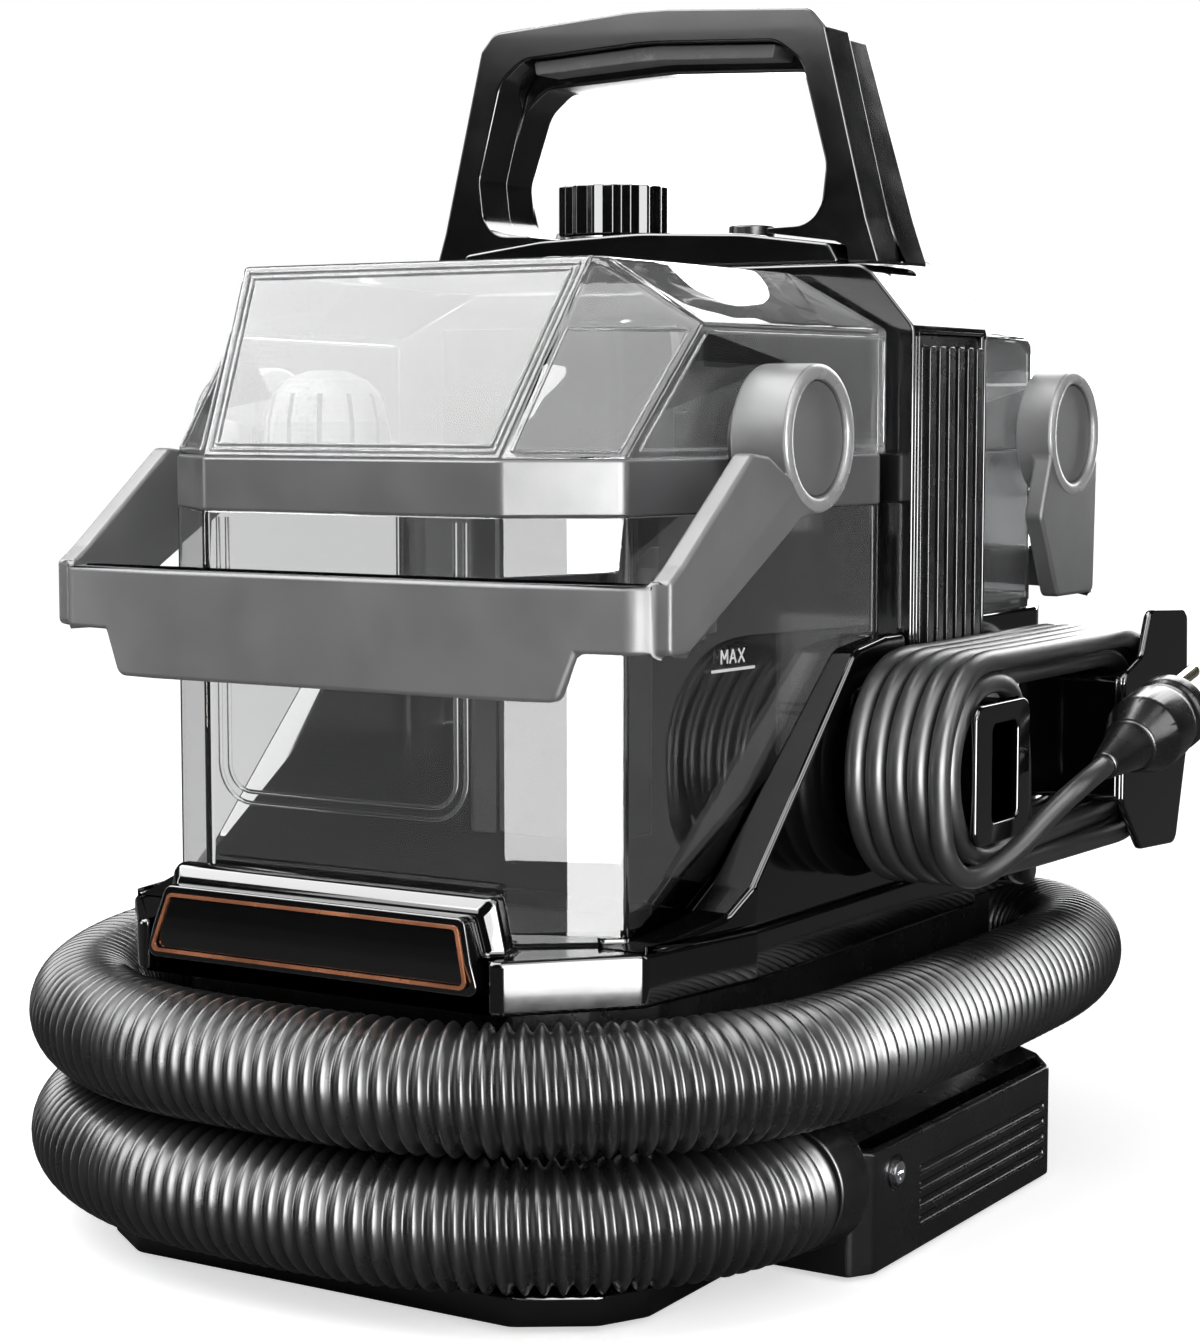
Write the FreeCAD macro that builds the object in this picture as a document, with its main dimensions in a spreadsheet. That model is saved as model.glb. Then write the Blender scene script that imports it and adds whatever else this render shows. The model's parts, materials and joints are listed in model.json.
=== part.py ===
import FreeCAD, Part
import math
import os

# Portable spot extractor. Millimetres, +Z up, +X to the machine's right side,
# -Y to the front. Origin on the floor under the middle of the machine.

V = FreeCAD.Vector
os.makedirs("parts", exist_ok=True)
doc = FreeCAD.newDocument("spot_extractor")

# ---------------------------------------------------------------- sizes
SIZES = {
    "base_low": 2.0, "base_top": 11.3, "recess_top": 91.0, "deck_thick": 16.0,
    "tank_floor": 107.3, "tank_wall": 2.6, "band_low": 231.0, "band_high": 247.0,
    "lid_edge": 287.0, "lid_top": 306.0, "column_top": 309.0,
    "column_front": 8.0, "column_rear": 66.0, "housing_top": 190.2,
    "shell_wall": 3.0, "pivot_high": 252.8, "front_pivot_back": -72.5,
    "rear_pivot_back": 125.3, "drum_radius": 22.4, "drum_inner": 93.0,
    "drum_outer": 112.0, "disc_radius": 17.2, "pin_radius": 6.0,
    "handle_front": 13.0, "handle_mid": 31.0, "handle_rear": 50.0,
    "knob_radius": 19.5, "knob_high": 17.0, "hose_radius": 19.3,
    "cord_radius": 3.5, "coil_in": 108.0, "coil_out": 143.5,
    "coil_wall": 14.4, "foot_radius": 11.0, "foot_high": 2.6,
    "button_radius": 8.0, "float_radius": 12.0, "impeller_radius": 52.0,
    "cap_radius": 19.0, "plug_radius": 13.5, "bar_low": 194.0, "bar_high": 213.0,
    "rib_width": 5.0, "rib_count": 6.0, "grip_thick": 3.0,
}
sheet = doc.addObject("Spreadsheet::Sheet", "Sizes")
for i, (k, v) in enumerate(SIZES.items()):
    sheet.set("A%d" % (i + 1), k)
    sheet.set("B%d" % (i + 1), str(v))
    sheet.setAlias("B%d" % (i + 1), k)
doc.recompute()


def g(k):
    return float(sheet.get(k))


NODES = {}
AX = {"Z": FreeCAD.Rotation(),
      "X": FreeCAD.Rotation(FreeCAD.Matrix(0, 0, 1, 0, 1, 0, 0, 0, 0, 1, 0, 0, 0, 0, 0, 1)),
      "Y": FreeCAD.Rotation(FreeCAD.Matrix(1, 0, 0, 0, 0, 0, -1, 0, 0, 1, 0, 0, 0, 0, 0, 1)),
      "-X": FreeCAD.Rotation(V(0, 1, 0), -90), "-Z": FreeCAD.Rotation(V(1, 0, 0), 180)}
# AX["X"]: local x,y,z -> Y,Z,X.  AX["Y"]: local x,y,z -> X,Z,-Y.


def expr(o, prop, val):
    """Bind a property to a sheet expression, or set a plain number."""
    if isinstance(val, str):
        for k in sorted(SIZES, key=len, reverse=True):
            pass
        o.setExpression(prop, _sheet(val))
    else:
        setattr(o, prop, val)


def _sheet(text):
    out, word = "", ""
    for ch in text + " ":
        if ch.isalnum() or ch == "_":
            word += ch
        else:
            if word in SIZES:
                out += "Sizes." + word + " * 1 mm"
            else:
                out += word
            word = ""
            out += ch
    return out.strip()


def rounded(pts, r):
    """Closed outline with its corners rounded: list of line and arc curves."""
    n = len(pts)
    rs = r if isinstance(r, (list, tuple)) else [r] * n
    cut = []
    for i in range(n):
        p, a, b = V(*pts[i], 0), V(*pts[i - 1], 0), V(*pts[(i + 1) % n], 0)
        u, w = (a - p), (b - p)
        lu, lw = u.Length, w.Length
        u.normalize()
        w.normalize()
        turn = math.pi - u.getAngle(w)
        if rs[i] <= 0 or turn < 0.02:
            cut.append((p, p, None))
            continue
        d = min(rs[i] * math.tan(turn / 2), 0.45 * lu, 0.45 * lw)
        rad = d / math.tan(turn / 2)
        m = (u + w)
        m.normalize()
        c = p + m * (rad / math.cos(turn / 2))
        mid = c - m * rad
        cut.append((p + u * d, p + w * d, mid))
    out = []
    for i in range(n):
        s, e, mid = cut[i]
        if mid is not None:
            out.append(Part.Arc(s, mid, e))
        nx = cut[(i + 1) % n][0]
        if (nx - e).Length > 1e-4:
            out.append(Part.LineSegment(e, nx))
    return out


def circle(x, y, r):
    return [Part.Circle(V(x, y, 0), V(0, 0, 1), r)]


def box2(x0, y0, x1, y1, r=0):
    return rounded([(x0, y0), (x1, y0), (x1, y1), (x0, y1)], r)


def prism(label, loops, length, axis="Z", at=(0, 0, 0)):
    """Body with one sketch (outer loop and holes) padded along its axis."""
    body = doc.addObject("PartDesign::Body", "B_" + label)
    body.Label = label
    sk = body.newObject("Sketcher::SketchObject", "S_" + label)
    plane = [f for f in body.Origin.OriginFeatures if f.Role == "XY_Plane"][0]
    sk.AttachmentSupport = [(plane, "")]
    sk.MapMode = "FlatFace"
    for lp in loops:
        sk.addGeometry(lp, False)
    pad = body.newObject("PartDesign::Pad", "P_" + label)
    pad.Profile = sk
    expr(pad, "Length", length)
    sk.Visibility = False
    body.Placement = FreeCAD.Placement(V(*at), AX[axis])
    return body


def revolve(label, pts, axis="Z", at=(0, 0, 0)):
    """Body with a half profile (radius, height) turned about its axis."""
    body = doc.addObject("PartDesign::Body", "B_" + label)
    body.Label = label
    sk = body.newObject("Sketcher::SketchObject", "S_" + label)
    plane = [f for f in body.Origin.OriginFeatures if f.Role == "XZ_Plane"][0]
    sk.AttachmentSupport = [(plane, "")]
    sk.MapMode = "FlatFace"
    n = len(pts)
    sk.addGeometry([Part.LineSegment(V(*pts[i], 0), V(*pts[(i + 1) % n], 0)) for i in range(n)], False)
    rv = body.newObject("PartDesign::Revolution", "R_" + label)
    rv.Profile = sk
    rv.ReferenceAxis = (sk, ["V_Axis"])
    rv.Angle = 360.0
    body.Placement = FreeCAD.Placement(V(*at), AX[axis])
    return body


def cyl(label, r, h, at, axis="Z"):
    o = doc.addObject("Part::Cylinder", label)
    expr(o, "Radius", r)
    expr(o, "Height", h)
    o.Placement = FreeCAD.Placement(V(*at), AX[axis])
    return o


def block(label, lo, hi):
    o = doc.addObject("Part::Box", label)
    o.Length, o.Width, o.Height = hi[0] - lo[0], hi[1] - lo[1], hi[2] - lo[2]
    o.Placement = FreeCAD.Placement(V(*lo), FreeCAD.Rotation())
    return o


def cut(label, a, *tools):
    for i, t in enumerate(tools):
        c = doc.addObject("Part::Cut", "C%d_%s" % (i, label))
        c.Base, c.Tool = a, t
        a = c
    a.Label = label
    return a


def fuse(label, *parts):
    f = doc.addObject("Part::MultiFuse", "F_" + label)
    f.Shapes = list(parts)
    f.Refine = True
    f.Label = label
    return f


def common(label, a, b):
    c = doc.addObject("Part::MultiCommon", "M_" + label)
    c.Shapes = [a, b]
    c.Label = label
    return c


def wire_obj(name, pts3, closed=True):
    o = doc.addObject("Part::Feature", name)
    p = [V(*q) for q in pts3]
    o.Shape = Part.makePolygon(p + [p[0]]) if closed else Part.makePolygon(p)
    return o


def loft(label, sections):
    ws = [wire_obj("%s_w%d" % (label, i), s) for i, s in enumerate(sections)]
    o = doc.addObject("Part::Loft", "L_" + label)
    o.Sections = ws
    o.Solid = True
    o.Ruled = True
    o.Label = label
    return o


def feat(label, shape):
    o = doc.addObject("Part::Feature", label)
    o.Shape = shape
    return o


def keep(name, o):
    o.Label = name
    NODES[name] = o
    return o


def inset(pts, d):
    """Convex outline (any turn direction) moved inwards by d."""
    n = len(pts)
    area = sum(pts[i][0] * pts[(i + 1) % n][1] - pts[(i + 1) % n][0] * pts[i][1] for i in range(n))
    s = 1 if area > 0 else -1
    lines = []
    for i in range(n):
        (x0, y0), (x1, y1) = pts[i], pts[(i + 1) % n]
        L = math.hypot(x1 - x0, y1 - y0)
        nx, ny = -(y1 - y0) / L * s, (x1 - x0) / L * s
        lines.append((x0 + nx * d, y0 + ny * d, x1 - x0, y1 - y0))
    out = []
    for i in range(n):
        x1, y1, a1, b1 = lines[i - 1]
        x2, y2, a2, b2 = lines[i]
        den = a1 * b2 - b1 * a2
        t = ((x2 - x1) * b2 - (y2 - y1) * a2) / den
        out.append((x1 + a1 * t, y1 + b1 * t))
    return out


def sym(half):
    """Outline symmetric about X = 0 from its right half, front to rear."""
    return [(x, y) for x, y in half] + [(-x, y) for x, y in reversed(half)]


def at_z(pts, z):
    return [(x, y, z) for x, y in pts]


W = g("shell_wall")
TW = g("tank_wall")
CF, CR = g("column_front"), g("column_rear")
PZ, FY, RY = g("pivot_high"), g("front_pivot_back"), g("rear_pivot_back")
DR, DI, DO = g("drum_radius"), g("drum_inner"), g("drum_outer")

# ---------------------------------------------------------------- outlines
BASE = sym([(69, -177), (90, -163), (98, -148), (97, -84), (97, 100), (84, 132), (60, 148)])
LOWER = sym([(56, -158), (74, -143), (86, -122), (91, -100), (94, -80), (94, 96), (76, 128), (52, 147)])
RIM = sym([(66, -178), (95, -146), (103.5, -95), (104, -40), (104, 66)])
TANK = sym([(54, -159), (83, -137), (96.5, 4)])
LIDM = sym([(60.5, -136), (87.5, -100), (96.5, 4)])
LIDT = sym([(64, -125), (65.5, -118), (62, 2)])
REAR = sym([(97, 68), (97, 120), (84, 151), (50, 171)])

# ---------------------------------------------------------------- base
# tray with a raised edge that carries the lower turn of the hose
base = prism("base_solid", [rounded(BASE, 7)], "base_top - base_low", at=(0, 0, g("base_low")))
hollow = prism("base_hollow", [rounded(inset(LOWER, 4.2), 5)], 20, at=(0, 0, g("base_low") + 3))
keep("base_tray", cut("base_tray", base, hollow))

lower_o = prism("recess_outer", [rounded(LOWER, 5), rounded(inset(LOWER, W), 4)],
                "recess_top - base_top", at=(0, 0, g("base_top")))
keep("hose_recess_wall", lower_o)

feet = [cyl("foot_%d" % i, "foot_radius", g("base_low") - 0.0, (x, y, 0))
        for i, (x, y) in enumerate([(66, -140), (-66, -140), (74, 100), (-74, 100)])]
keep("rubber_feet", fuse("rubber_feet", *feet))

# ---------------------------------------------------------------- upper chassis
rim = prism("rim_solid", [rounded(RIM, 6)], "deck_thick", at=(0, 0, g("recess_top")))
rim_in = prism("rim_hollow", [rounded(inset([(x, y) for x, y in RIM], 5), 4)], g("deck_thick") - W,
               at=(0, 0, g("recess_top") - 0.0))
duct_hole = block("deck_duct_hole", (-20, 14, 95), (20, 44, 115))
nose_void = prism("nose_void", [rounded([(-200, -178), (-62, -178), (-62, -172), (62, -172), (62, -178), (200, -178), (200, -200), (-200, -200)], 0)], 40, at=(0, 0, 80))
keep("cradle_deck", cut("cradle_deck", rim, rim_in, duct_hole, nose_void))

# name plate blank: tilted trapezoid on the nose, with a thin raised outline
plate_pts = [(-61, 96.5), (61, 96.5), (54.5, 118.5), (-54.5, 118.5)]
plate = prism("plate_flat", [rounded(plate_pts, 3)], 8.0, axis="Y", at=(0, -172.3, 0))
tilt = feat("plate_tilt", Part.makeBox(200, 30, 60, V(-100, -30, -30)))
tilt.Placement = FreeCAD.Placement(V(0, -180.0, 108), FreeCAD.Rotation(V(1, 0, 0), -9))
keep("nose_plate", cut("nose_plate", plate, tilt))
ring = prism("trim_ring", [rounded(inset(plate_pts, 2.2), 2), rounded(inset(plate_pts, 3.2), 1.5)], 12.0, axis="Y", at=(0, -172.0, 0))
slab = feat("trim_slab", Part.makeBox(200, 0.6, 60, V(-100, -0.6, -30)))
slab.Placement = FreeCAD.Placement(V(0, -180.0, 108), FreeCAD.Rotation(V(1, 0, 0), -9))
keep("nose_plate_trim", common("nose_plate_trim", ring, slab))

# chamfered nose block behind the name plate, standing on the deck's front edge
NB0 = [(-65.5, 93.5), (65.5, 93.5), (58.6, 123.6), (-58.6, 123.6)]
NB1 = [(-62.0, 96.2), (62.0, 96.2), (55.2, 119.2), (-55.2, 119.2)]
nose_block = loft("nose_block", [[(x, -162.5, z) for x, z in NB0], [(x, -168.6, z) for x, z in NB0], [(x, -171.9, z) for x, z in NB1]])
CHEEKS, PANELS = [nose_block], []
# side cheeks: diagonal upper edge, outside follows the rim, inside follows the tank
for side, sx in (("right", 1), ("left", -1)):
    prof = prism("cheek_prof_" + side, [rounded([(-160, 107), (-146, 107.2), (-108, 112.5), (-96, 120), (-30, 186), (-8, 189), (6, 189), (6, 107)][1:], [0, 8, 10, 10, 8, 3, 0])],
                 30, axis="X", at=(78 if sx > 0 else -108, 0, 0))
    band = prism("cheek_band_" + side, [rounded(inset(RIM, 0.6), 6), rounded(inset(TANK + [], -0.9), 0)], 120, at=(0, 0, 100))
    CHEEKS.append(common("cradle_cheek_" + side, prof, band))
keep("upper_cradle", fuse("upper_cradle", NODES.pop("cradle_deck"), *CHEEKS))

# centre column between the tanks
COL = [(-104, 107.1), (104, 107.1), (104, 288), (86, 309), (-86, 309), (-104, 288)]
COLI = inset(COL, W)
col = prism("column_outer", [rounded(COL, [3, 3, 6, 10, 10, 6])], CR - CF, axis="Y", at=(0, CR, 0))
coli = prism("column_inner", [rounded(COLI, 3)], CR - CF - 2 * W, axis="Y", at=(0, CR - W, 0))
port = block("column_port", (-18, 0, 262), (18, 14, 290))
rec_r = block("panel_recess_r", (100.0, 13, 118), (106, 62, 286))
rec_l = block("panel_recess_l", (-106, 13, 118), (-100.0, 62, 286))
dslot = block("column_duct_way", (-20, 14, 100), (20, 44, 114))
keep("centre_column", cut("centre_column", col, coli, port, rec_r, rec_l, dslot))

# ribbed cover panels on both sides of the column
for side, sx in (("right", 1), ("left", -1)):
    pan = prism("panel_flat_" + side, [rounded([(13.3, 118.3), (61.7, 118.3), (61.7, 285.7), (13.3, 285.7)], 3)], 2.4,
                axis="X", at=(100.2 if sx > 0 else -102.6, 0, 0))
    ribs = [prism("panel_rib_%s%d" % (side, i), [rounded([(17 + 7.4 * i, 122), (21.6 + 7.4 * i, 122), (21.6 + 7.4 * i, 282), (17 + 7.4 * i, 282)], 1.5)], 5.0,
                  axis="X", at=(100.8 if sx > 0 else -105.8, 0, 0)) for i in range(int(g("rib_count")))]
    PANELS.append(fuse("ribbed_panel_" + side, pan, *ribs))
keep("ribbed_side_panels", fuse("ribbed_side_panels", *PANELS))

# rear housing under the clean water tank
RH = sym([(98, CR + 0.3), (98, 126), (85, 158), (52, 181)])
rho = prism("rear_housing_outer", [rounded(RH, 6)], "housing_top - recess_top", at=(0, 0, g("recess_top")))
rhi = prism("rear_housing_inner", [rounded(inset(RH, W), 4)], g("housing_top") - g("recess_top") - W - 6, at=(0, 0, g("recess_top") + 6))
wedge = prism("rear_wedge", [rounded([(147, 80), (200, 80), (200, 140), (182, 131)], 0)], 260, axis="X", at=(-130, 0, 0))
wedge_in = prism("rear_wedge_in", [rounded([(143, 85), (205, 85), (205, 152), (178, 134)], 0)], 260, axis="X", at=(-130, 0, 0))
rhi2 = cut("rear_inner_trim", rhi, wedge_in)
opn = prism("rear_housing_open", [rounded([(-60, 74), (60, 74), (60, 136), (-60, 136)], 4)], 12, at=(0, 0, g("recess_top") - 2))
grw = block("grille_window", (-46.3, 172, 139.7), (46.3, 190, 178.3))
seat_hole = cyl("receiver_hole", 9.0, 12, (0, 110, g("housing_top") - 6))
keep("rear_housing", cut("rear_housing", rho, rhi2, wedge, opn, grw, seat_hole))
slots = [block("slot_%d" % i, (-42, 170, 143.5 + 5.6 * i), (42, 190, 146.5 + 5.6 * i)) for i in range(6)]
grl = prism("grille_plate", [rounded([(-46, 140), (46, 140), (46, 178), (-46, 178)], 2)], 3.0, axis="Y", at=(0, 181.0, 0))
keep("exhaust_grille", cut("exhaust_grille", grl, *slots))
recv = revolve("receiver_prof", [(2.4, 0), (8.9, 0), (8.9, 10), (5, 10), (5, 3), (2.4, 3)], at=(0, 110, g("housing_top") - 12))
keep("water_receiver", recv)

# ---------------------------------------------------------------- handle and deck
OUT = [(-88.6, 309.3), (-83.8, 324), (-68, 387), (-62.5, 393.2), (0, 397.3), (62.5, 393.2), (68, 387), (83.8, 324), (88.6, 309.3)]
INN = [(77.5, 309.3), (76.9, 314.7), (72.6, 316.7), (47, 320.1), (47, 321.7), (66.5, 322.3), (68.8, 342), (59.5, 376), (50, 383), (0, 385.5),
       (-50, 383), (-59.5, 376), (-68.8, 342), (-66.5, 322.3), (-47, 321.7), (-47, 320.1), (-72.6, 316.7), (-76.9, 314.7), (-77.5, 309.3)]
LOOP = OUT + INN
LR = [0, 4, 4, 6, 200, 6, 4, 4, 0] + [0, 1, 2, 0.4, 0.4, 15, 12, 12, 10, 150, 10, 12, 12, 15, 0.4, 0.4, 2, 1, 0]
hf = prism("handle_front_half", [rounded(LOOP, LR)], "handle_mid - handle_front", axis="Y", at=(0, g("handle_mid"), 0))
keep("handle_front_shell", hf)
LOOP2 = [(-89, 309.3), (-83.8, 324), (-65.4, 385), (-60, 392.4), (0, 396), (60, 392.4), (65.4, 385), (83.8, 324), (89, 309.3)] + \
        [(79, 309.3), (78.2, 314.9), (73.6, 316.9), (48.2, 320.3), (48.2, 321.9), (68, 322.5), (70.3, 342), (61, 367.5), (52, 374.6), (0, 377),
         (-52, 374.6), (-61, 367.5), (-70.3, 342), (-68, 322.5), (-48.2, 321.9), (-48.2, 320.3), (-73.6, 316.9), (-78.2, 314.9), (-79, 309.3)]
hr = prism("handle_rear_half", [rounded(LOOP2, LR)], "handle_rear - handle_mid", axis="Y", at=(0, g("handle_rear"), 0))
keep("handle_rear_shell", hr)
# soft pad under the grip, in front of the deeper rear half
GR = [(-48, 382.6), (0, 385.1), (48, 382.6), (47, 377.9), (0, 380.1), (-47, 377.9)]
gr = prism("grip_flat", [rounded(GR, [1, 100, 1, 1, 100, 1])], 29, axis="Y", at=(0, 45.5, 0))
grc = common("grip_fit", gr, prism("grip_env", [rounded([(-60, 370), (60, 370), (60, 390), (-60, 390)], 0)], 60, axis="Y", at=(0, 60, 0)))
hfix = prism("handle_union", [rounded(LOOP, LR)], 60, axis="Y", at=(0, 60, 0))
hfix2 = block("handle_union_rear", (-60, 31, 360), (60, 60, 400))
keep("handle_grip_pad", cut("handle_grip_pad", grc, hfix, hfix2))

DECK = [(-76, 309.3), (76, 309.3), (72, 316), (40, 320), (0, 321.5), (-40, 320), (-72, 316)]
dk = prism("deck_flat", [rounded(DECK, [1, 1, 3, 60, 100, 60, 3])], 45, axis="Y", at=(0, 54, 0))
knob_x, knob_y = -24.0, 31.0
btn_x, btn_y = 34.0, 27.0
bore_k = cyl("deck_knob_bore", 4.05, 30, (knob_x, knob_y, 300))
bore_b = cyl("deck_button_bore", g("button_radius") + 0.3, 30, (btn_x, btn_y, 300))
dbox = block("deck_pocket", (-60, 14, 305), (60, 48, 316))
keep("control_deck", cut("control_deck", dk, bore_k, bore_b))
nk = 18
kp = []
for i in range(nk):
    a0, a1 = 2 * math.pi * i / nk, 2 * math.pi * (i + 0.5) / nk
    kp.append((19.5 * math.cos(a0), 19.5 * math.sin(a0)))
    kp.append((18.0 * math.cos(a1), 18.0 * math.sin(a1)))
kb = prism("knob_ribbed", [rounded(kp, 1.2)], "knob_high", at=(knob_x, knob_y, 322.0))
ks = cyl("knob_shaft", 4.0, 13.5, (knob_x, knob_y, 309.5))
kfl = cyl("knob_flange", 17.0, 0.8, (knob_x, knob_y, 321.8))
keep("mode_knob", fuse("mode_knob", kb, ks, kfl))
bt = cyl("button_cap", "button_radius", 10.0, (btn_x, btn_y, 313.5))
keep("power_button", fuse("power_button", bt, cyl("button_foot", 5.0, 3.0, (btn_x, btn_y, 311.6))))

# ---------------------------------------------------------------- front (dirty) tank
ft_o = prism("tank_outer", [rounded(TANK, 5)], "band_low - tank_floor", at=(0, 0, g("tank_floor")))
ft_i = prism("tank_inner", [rounded(inset(TANK, TW), 3.5)], 200, at=(0, 0, g("tank_floor") + 3))
keep("dirty_tank_shell", cut("dirty_tank_shell", ft_o, ft_i))
bd = prism("band_ring", [rounded(inset(TANK, -0.0), 5), rounded(inset(TANK, 4.2), 3)], "band_high - band_low", at=(0, 0, g("band_low")))
keep("tank_seal_band", bd)
lo = loft("lid_outer", [at_z(TANK, g("band_high")), at_z(LIDM, g("lid_edge")), at_z(LIDT, g("lid_top"))])
li = loft("lid_inner", [at_z(inset(TANK, TW), g("band_high") - 1), at_z(inset(LIDM, TW), g("lid_edge") - 1.2), at_z(inset(LIDT, TW), g("lid_top") - TW)])
inlet_hole = cyl("lid_inlet_hole", 14.1, 12, (0, 6, 276), axis="Y")
keep("dirty_tank_lid", cut("dirty_tank_lid", lo, li, inlet_hole))

# inlet standpipe: wide duct rising from low in the tank to the lid's rear port
sp_o = prism("standpipe_o", [rounded([(-26, -58), (26, -58), (30, -30), (-30, -30)], 5), rounded([(-23.6, -55.6), (23.6, -55.6), (27.4, -32.4), (-27.4, -32.4)], 3)], 108.0, at=(0, 0, 122.0))
keep("inlet_standpipe", sp_o)
# separator head over the standpipe, with its neck to the rear port
hd_o = prism("head_o", [rounded([(-34, -62), (34, -62), (34, -24), (-34, -24)], 5)], 40, at=(0, 0, 247.5))
hd_i = prism("head_i", [rounded([(-31.6, -59.6), (31.6, -59.6), (31.6, -26.4), (-31.6, -26.4)], 3)], 60, at=(0, 0, 230.0))
nk_o = cyl("neck_o", 13.8, 28, (0, 3.5, 276), axis="Y")
nk_i = cyl("neck_i", 11.4, 40, (0, 12, 276), axis="Y")
hd_c = block("head_trim", (-60, -90, 284.6), (60, 20, 320))
head = cut("separator_head", fuse("head_sum", hd_o, nk_o), hd_i, nk_i)
# carrier plate of the head, resting inside the band
cp = prism("carrier_flat", [rounded(inset(TANK, 4.4), 3), rounded([(-31.6, -59.6), (31.6, -59.6), (31.6, -26.4), (-31.6, -26.4)], 3),
                            circle(-52, -98, 20.5), circle(52, -62, 13.2)], 3.0, at=(0, 0, 244.0))
# dome filter at the front left of the lid
fl = revolve("filter_prof", [(0, 29.5), (6, 29.2), (13, 26.5), (18, 21), (20, 13), (20.2, 0), (17.8, 0), (17.8, 12.5), (16, 19), (12, 23.8), (6, 26.6), (0, 27)], at=(-52, -98, 244.2))
fls = [block("filter_slot%d" % i, (-52 - 0.8, -98 - 30, 249), (-52 + 0.8, -98 + 30, 266)) for i in range(6)]
for i, s in enumerate(fls):
    s.Placement = FreeCAD.Placement(V(-52, -98, 249), FreeCAD.Rotation(V(0, 0, 1), 30 * i)).multiply(FreeCAD.Placement(V(-0.8, -30, 0), FreeCAD.Rotation()))
keep("debris_filter", cut("debris_filter", fl, *fls))
# float and its guide cage under the plate
fc = revolve("cage_prof", [(12.8, 0), (15.2, 0), (15.2, 52.6), (12.8, 52.6)], at=(52, -62, 191.8))
cw = [block("cage_win%d" % i, (-20, -4.5, 0), (20, 4.5, 38)) for i in range(2)]
for i, s in enumerate(cw):
    s.Placement = FreeCAD.Placement(V(52, -62, 198), FreeCAD.Rotation(V(0, 0, 1), 90 * i)).multiply(FreeCAD.Placement(V(-20, -4.5, 0), FreeCAD.Rotation()))
bar1 = block("cage_bar1", (39, -63.5, 189.8), (65, -60.5, 191.8))
keep("separator_frame", fuse("separator_frame", head, cp, cut("cage_cut", fc, *cw), bar1))
keep("float_ball", revolve("float_prof", [(0, 0), (6, 0), (12, 6), (12, 20), (6, 26), (0, 26)], at=(52, -62, 192.3)))

# pivot pins for the front bail, standing on the tank band
for side, sx in (("right", 1), ("left", -1)):
    pass


def pivot_pins(name, y, wall):
    ps = []
    for sx in (1, -1):
        a = cyl("%s_pin%d" % (name, sx), "pin_radius", 107.0 - wall, (wall * sx if sx > 0 else -107.0, y, PZ), axis="X")
        b = cyl("%s_boss%d" % (name, sx), 15.0, DI - 0.5 - wall, (wall if sx > 0 else -(DI - 0.5), y, PZ), axis="X")
        ps += [a, b]
    return fuse(name, *ps)


lid_env_f = fuse("pin_env", loft("lid_env_f", [at_z(inset(TANK, -0.35), g("band_high") - 0.2), at_z(inset(LIDM, -0.35), g("lid_edge")), at_z(LIDT, g("lid_top"))]),
                 prism("pin_env_low", [rounded(TANK, 5)], 40, at=(0, 0, 207.2)))
pf = pivot_pins("front_pins_raw", FY, 80.0)
keep("front_bail_pins", cut("front_bail_pins", pf, lid_env_f))


def drum(name, y, sx):
    d = cyl("%s_d%d" % (name, sx), "drum_radius", DO - DI, (DI if sx > 0 else -DO, y, PZ), axis="X")
    h = cyl("%s_h%d" % (name, sx), 6.05, 30, (80 if sx > 0 else -110.0, y, PZ), axis="X")
    r = cyl("%s_r%d" % (name, sx), 17.5, 10, (108.5 if sx > 0 else -118.5, y, PZ), axis="X")
    return cut("%s_drum%d" % (name, sx), d, h, r)


def disc(name, y):
    return fuse(name, cyl(name + "_a", "disc_radius", 2.0, (108.6, y, PZ), axis="X"),
                cyl(name + "_b", "disc_radius", 2.0, (-110.6, y, PZ), axis="X"))


ARM = [(-161, 214), (-154, 218.5), (-114, 249), (-104, 248), (-88, 240), (-70, 231.5), (-84, 229), (-150, 194), (-161, 194)]
arms = []
for sx in (1, -1):
    a = prism("front_arm%d" % sx, [rounded(ARM, [2, 3, 4, 2, 0, 0, 2, 3, 2])], 7.0, axis="X", at=(105.0 if sx > 0 else -112.0, 0, 0))
    ck = cyl("front_arm_clear%d" % sx, 17.5, 10, (108.5 if sx > 0 else -118.5, FY, PZ), axis="X")
    ch = cyl("front_arm_bore%d" % sx, 6.05, 30, (95 if sx > 0 else -125, FY, PZ), axis="X")
    arms.append(cut("front_arm_c%d" % sx, a, ck, ch))
BARO = sym([(60, -172.5), (100, -166), (112, -154)])[:3]
bo = [(112, -150), (112, -154), (103, -166), (64, -172), (-64, -172), (-103, -166), (-112, -154), (-112, -150),
      (-105, -150), (-105, -152), (-99, -160), (-62, -165), (62, -165), (99, -160), (105, -152), (105, -150)]
bar = prism("front_bar", [rounded(bo, [0, 4, 8, 20, 20, 8, 4, 0, 0, 2, 5, 18, 18, 5, 2, 0])], "bar_high - bar_low", at=(0, 0, g("bar_low")))
lipp = [(64, -172), (-64, -172), (-64, -165.2), (64, -165.2)]
lp = prism("front_bar_lip", [rounded([(-80, 180), (80, 180), (86, 195), (-86, 195)], [4, 4, 0, 0])], 6.6, axis="Y", at=(0, -165.3, 0))
lpc = prism("front_bar_env", [rounded(bo, [0, 4, 8, 20, 20, 8, 4, 0, 0, 2, 5, 18, 18, 5, 2, 0])], 60, at=(0, 0, 170))
lpk = common("front_lip_fit", lp, lpc)
keep("front_bail", fuse("front_bail", bar, lpk, arms[0], arms[1], drum("front_drum", FY, 1), drum("front_drum", FY, -1)))
keep("front_bail_caps", disc("front_bail_caps", FY))

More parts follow.
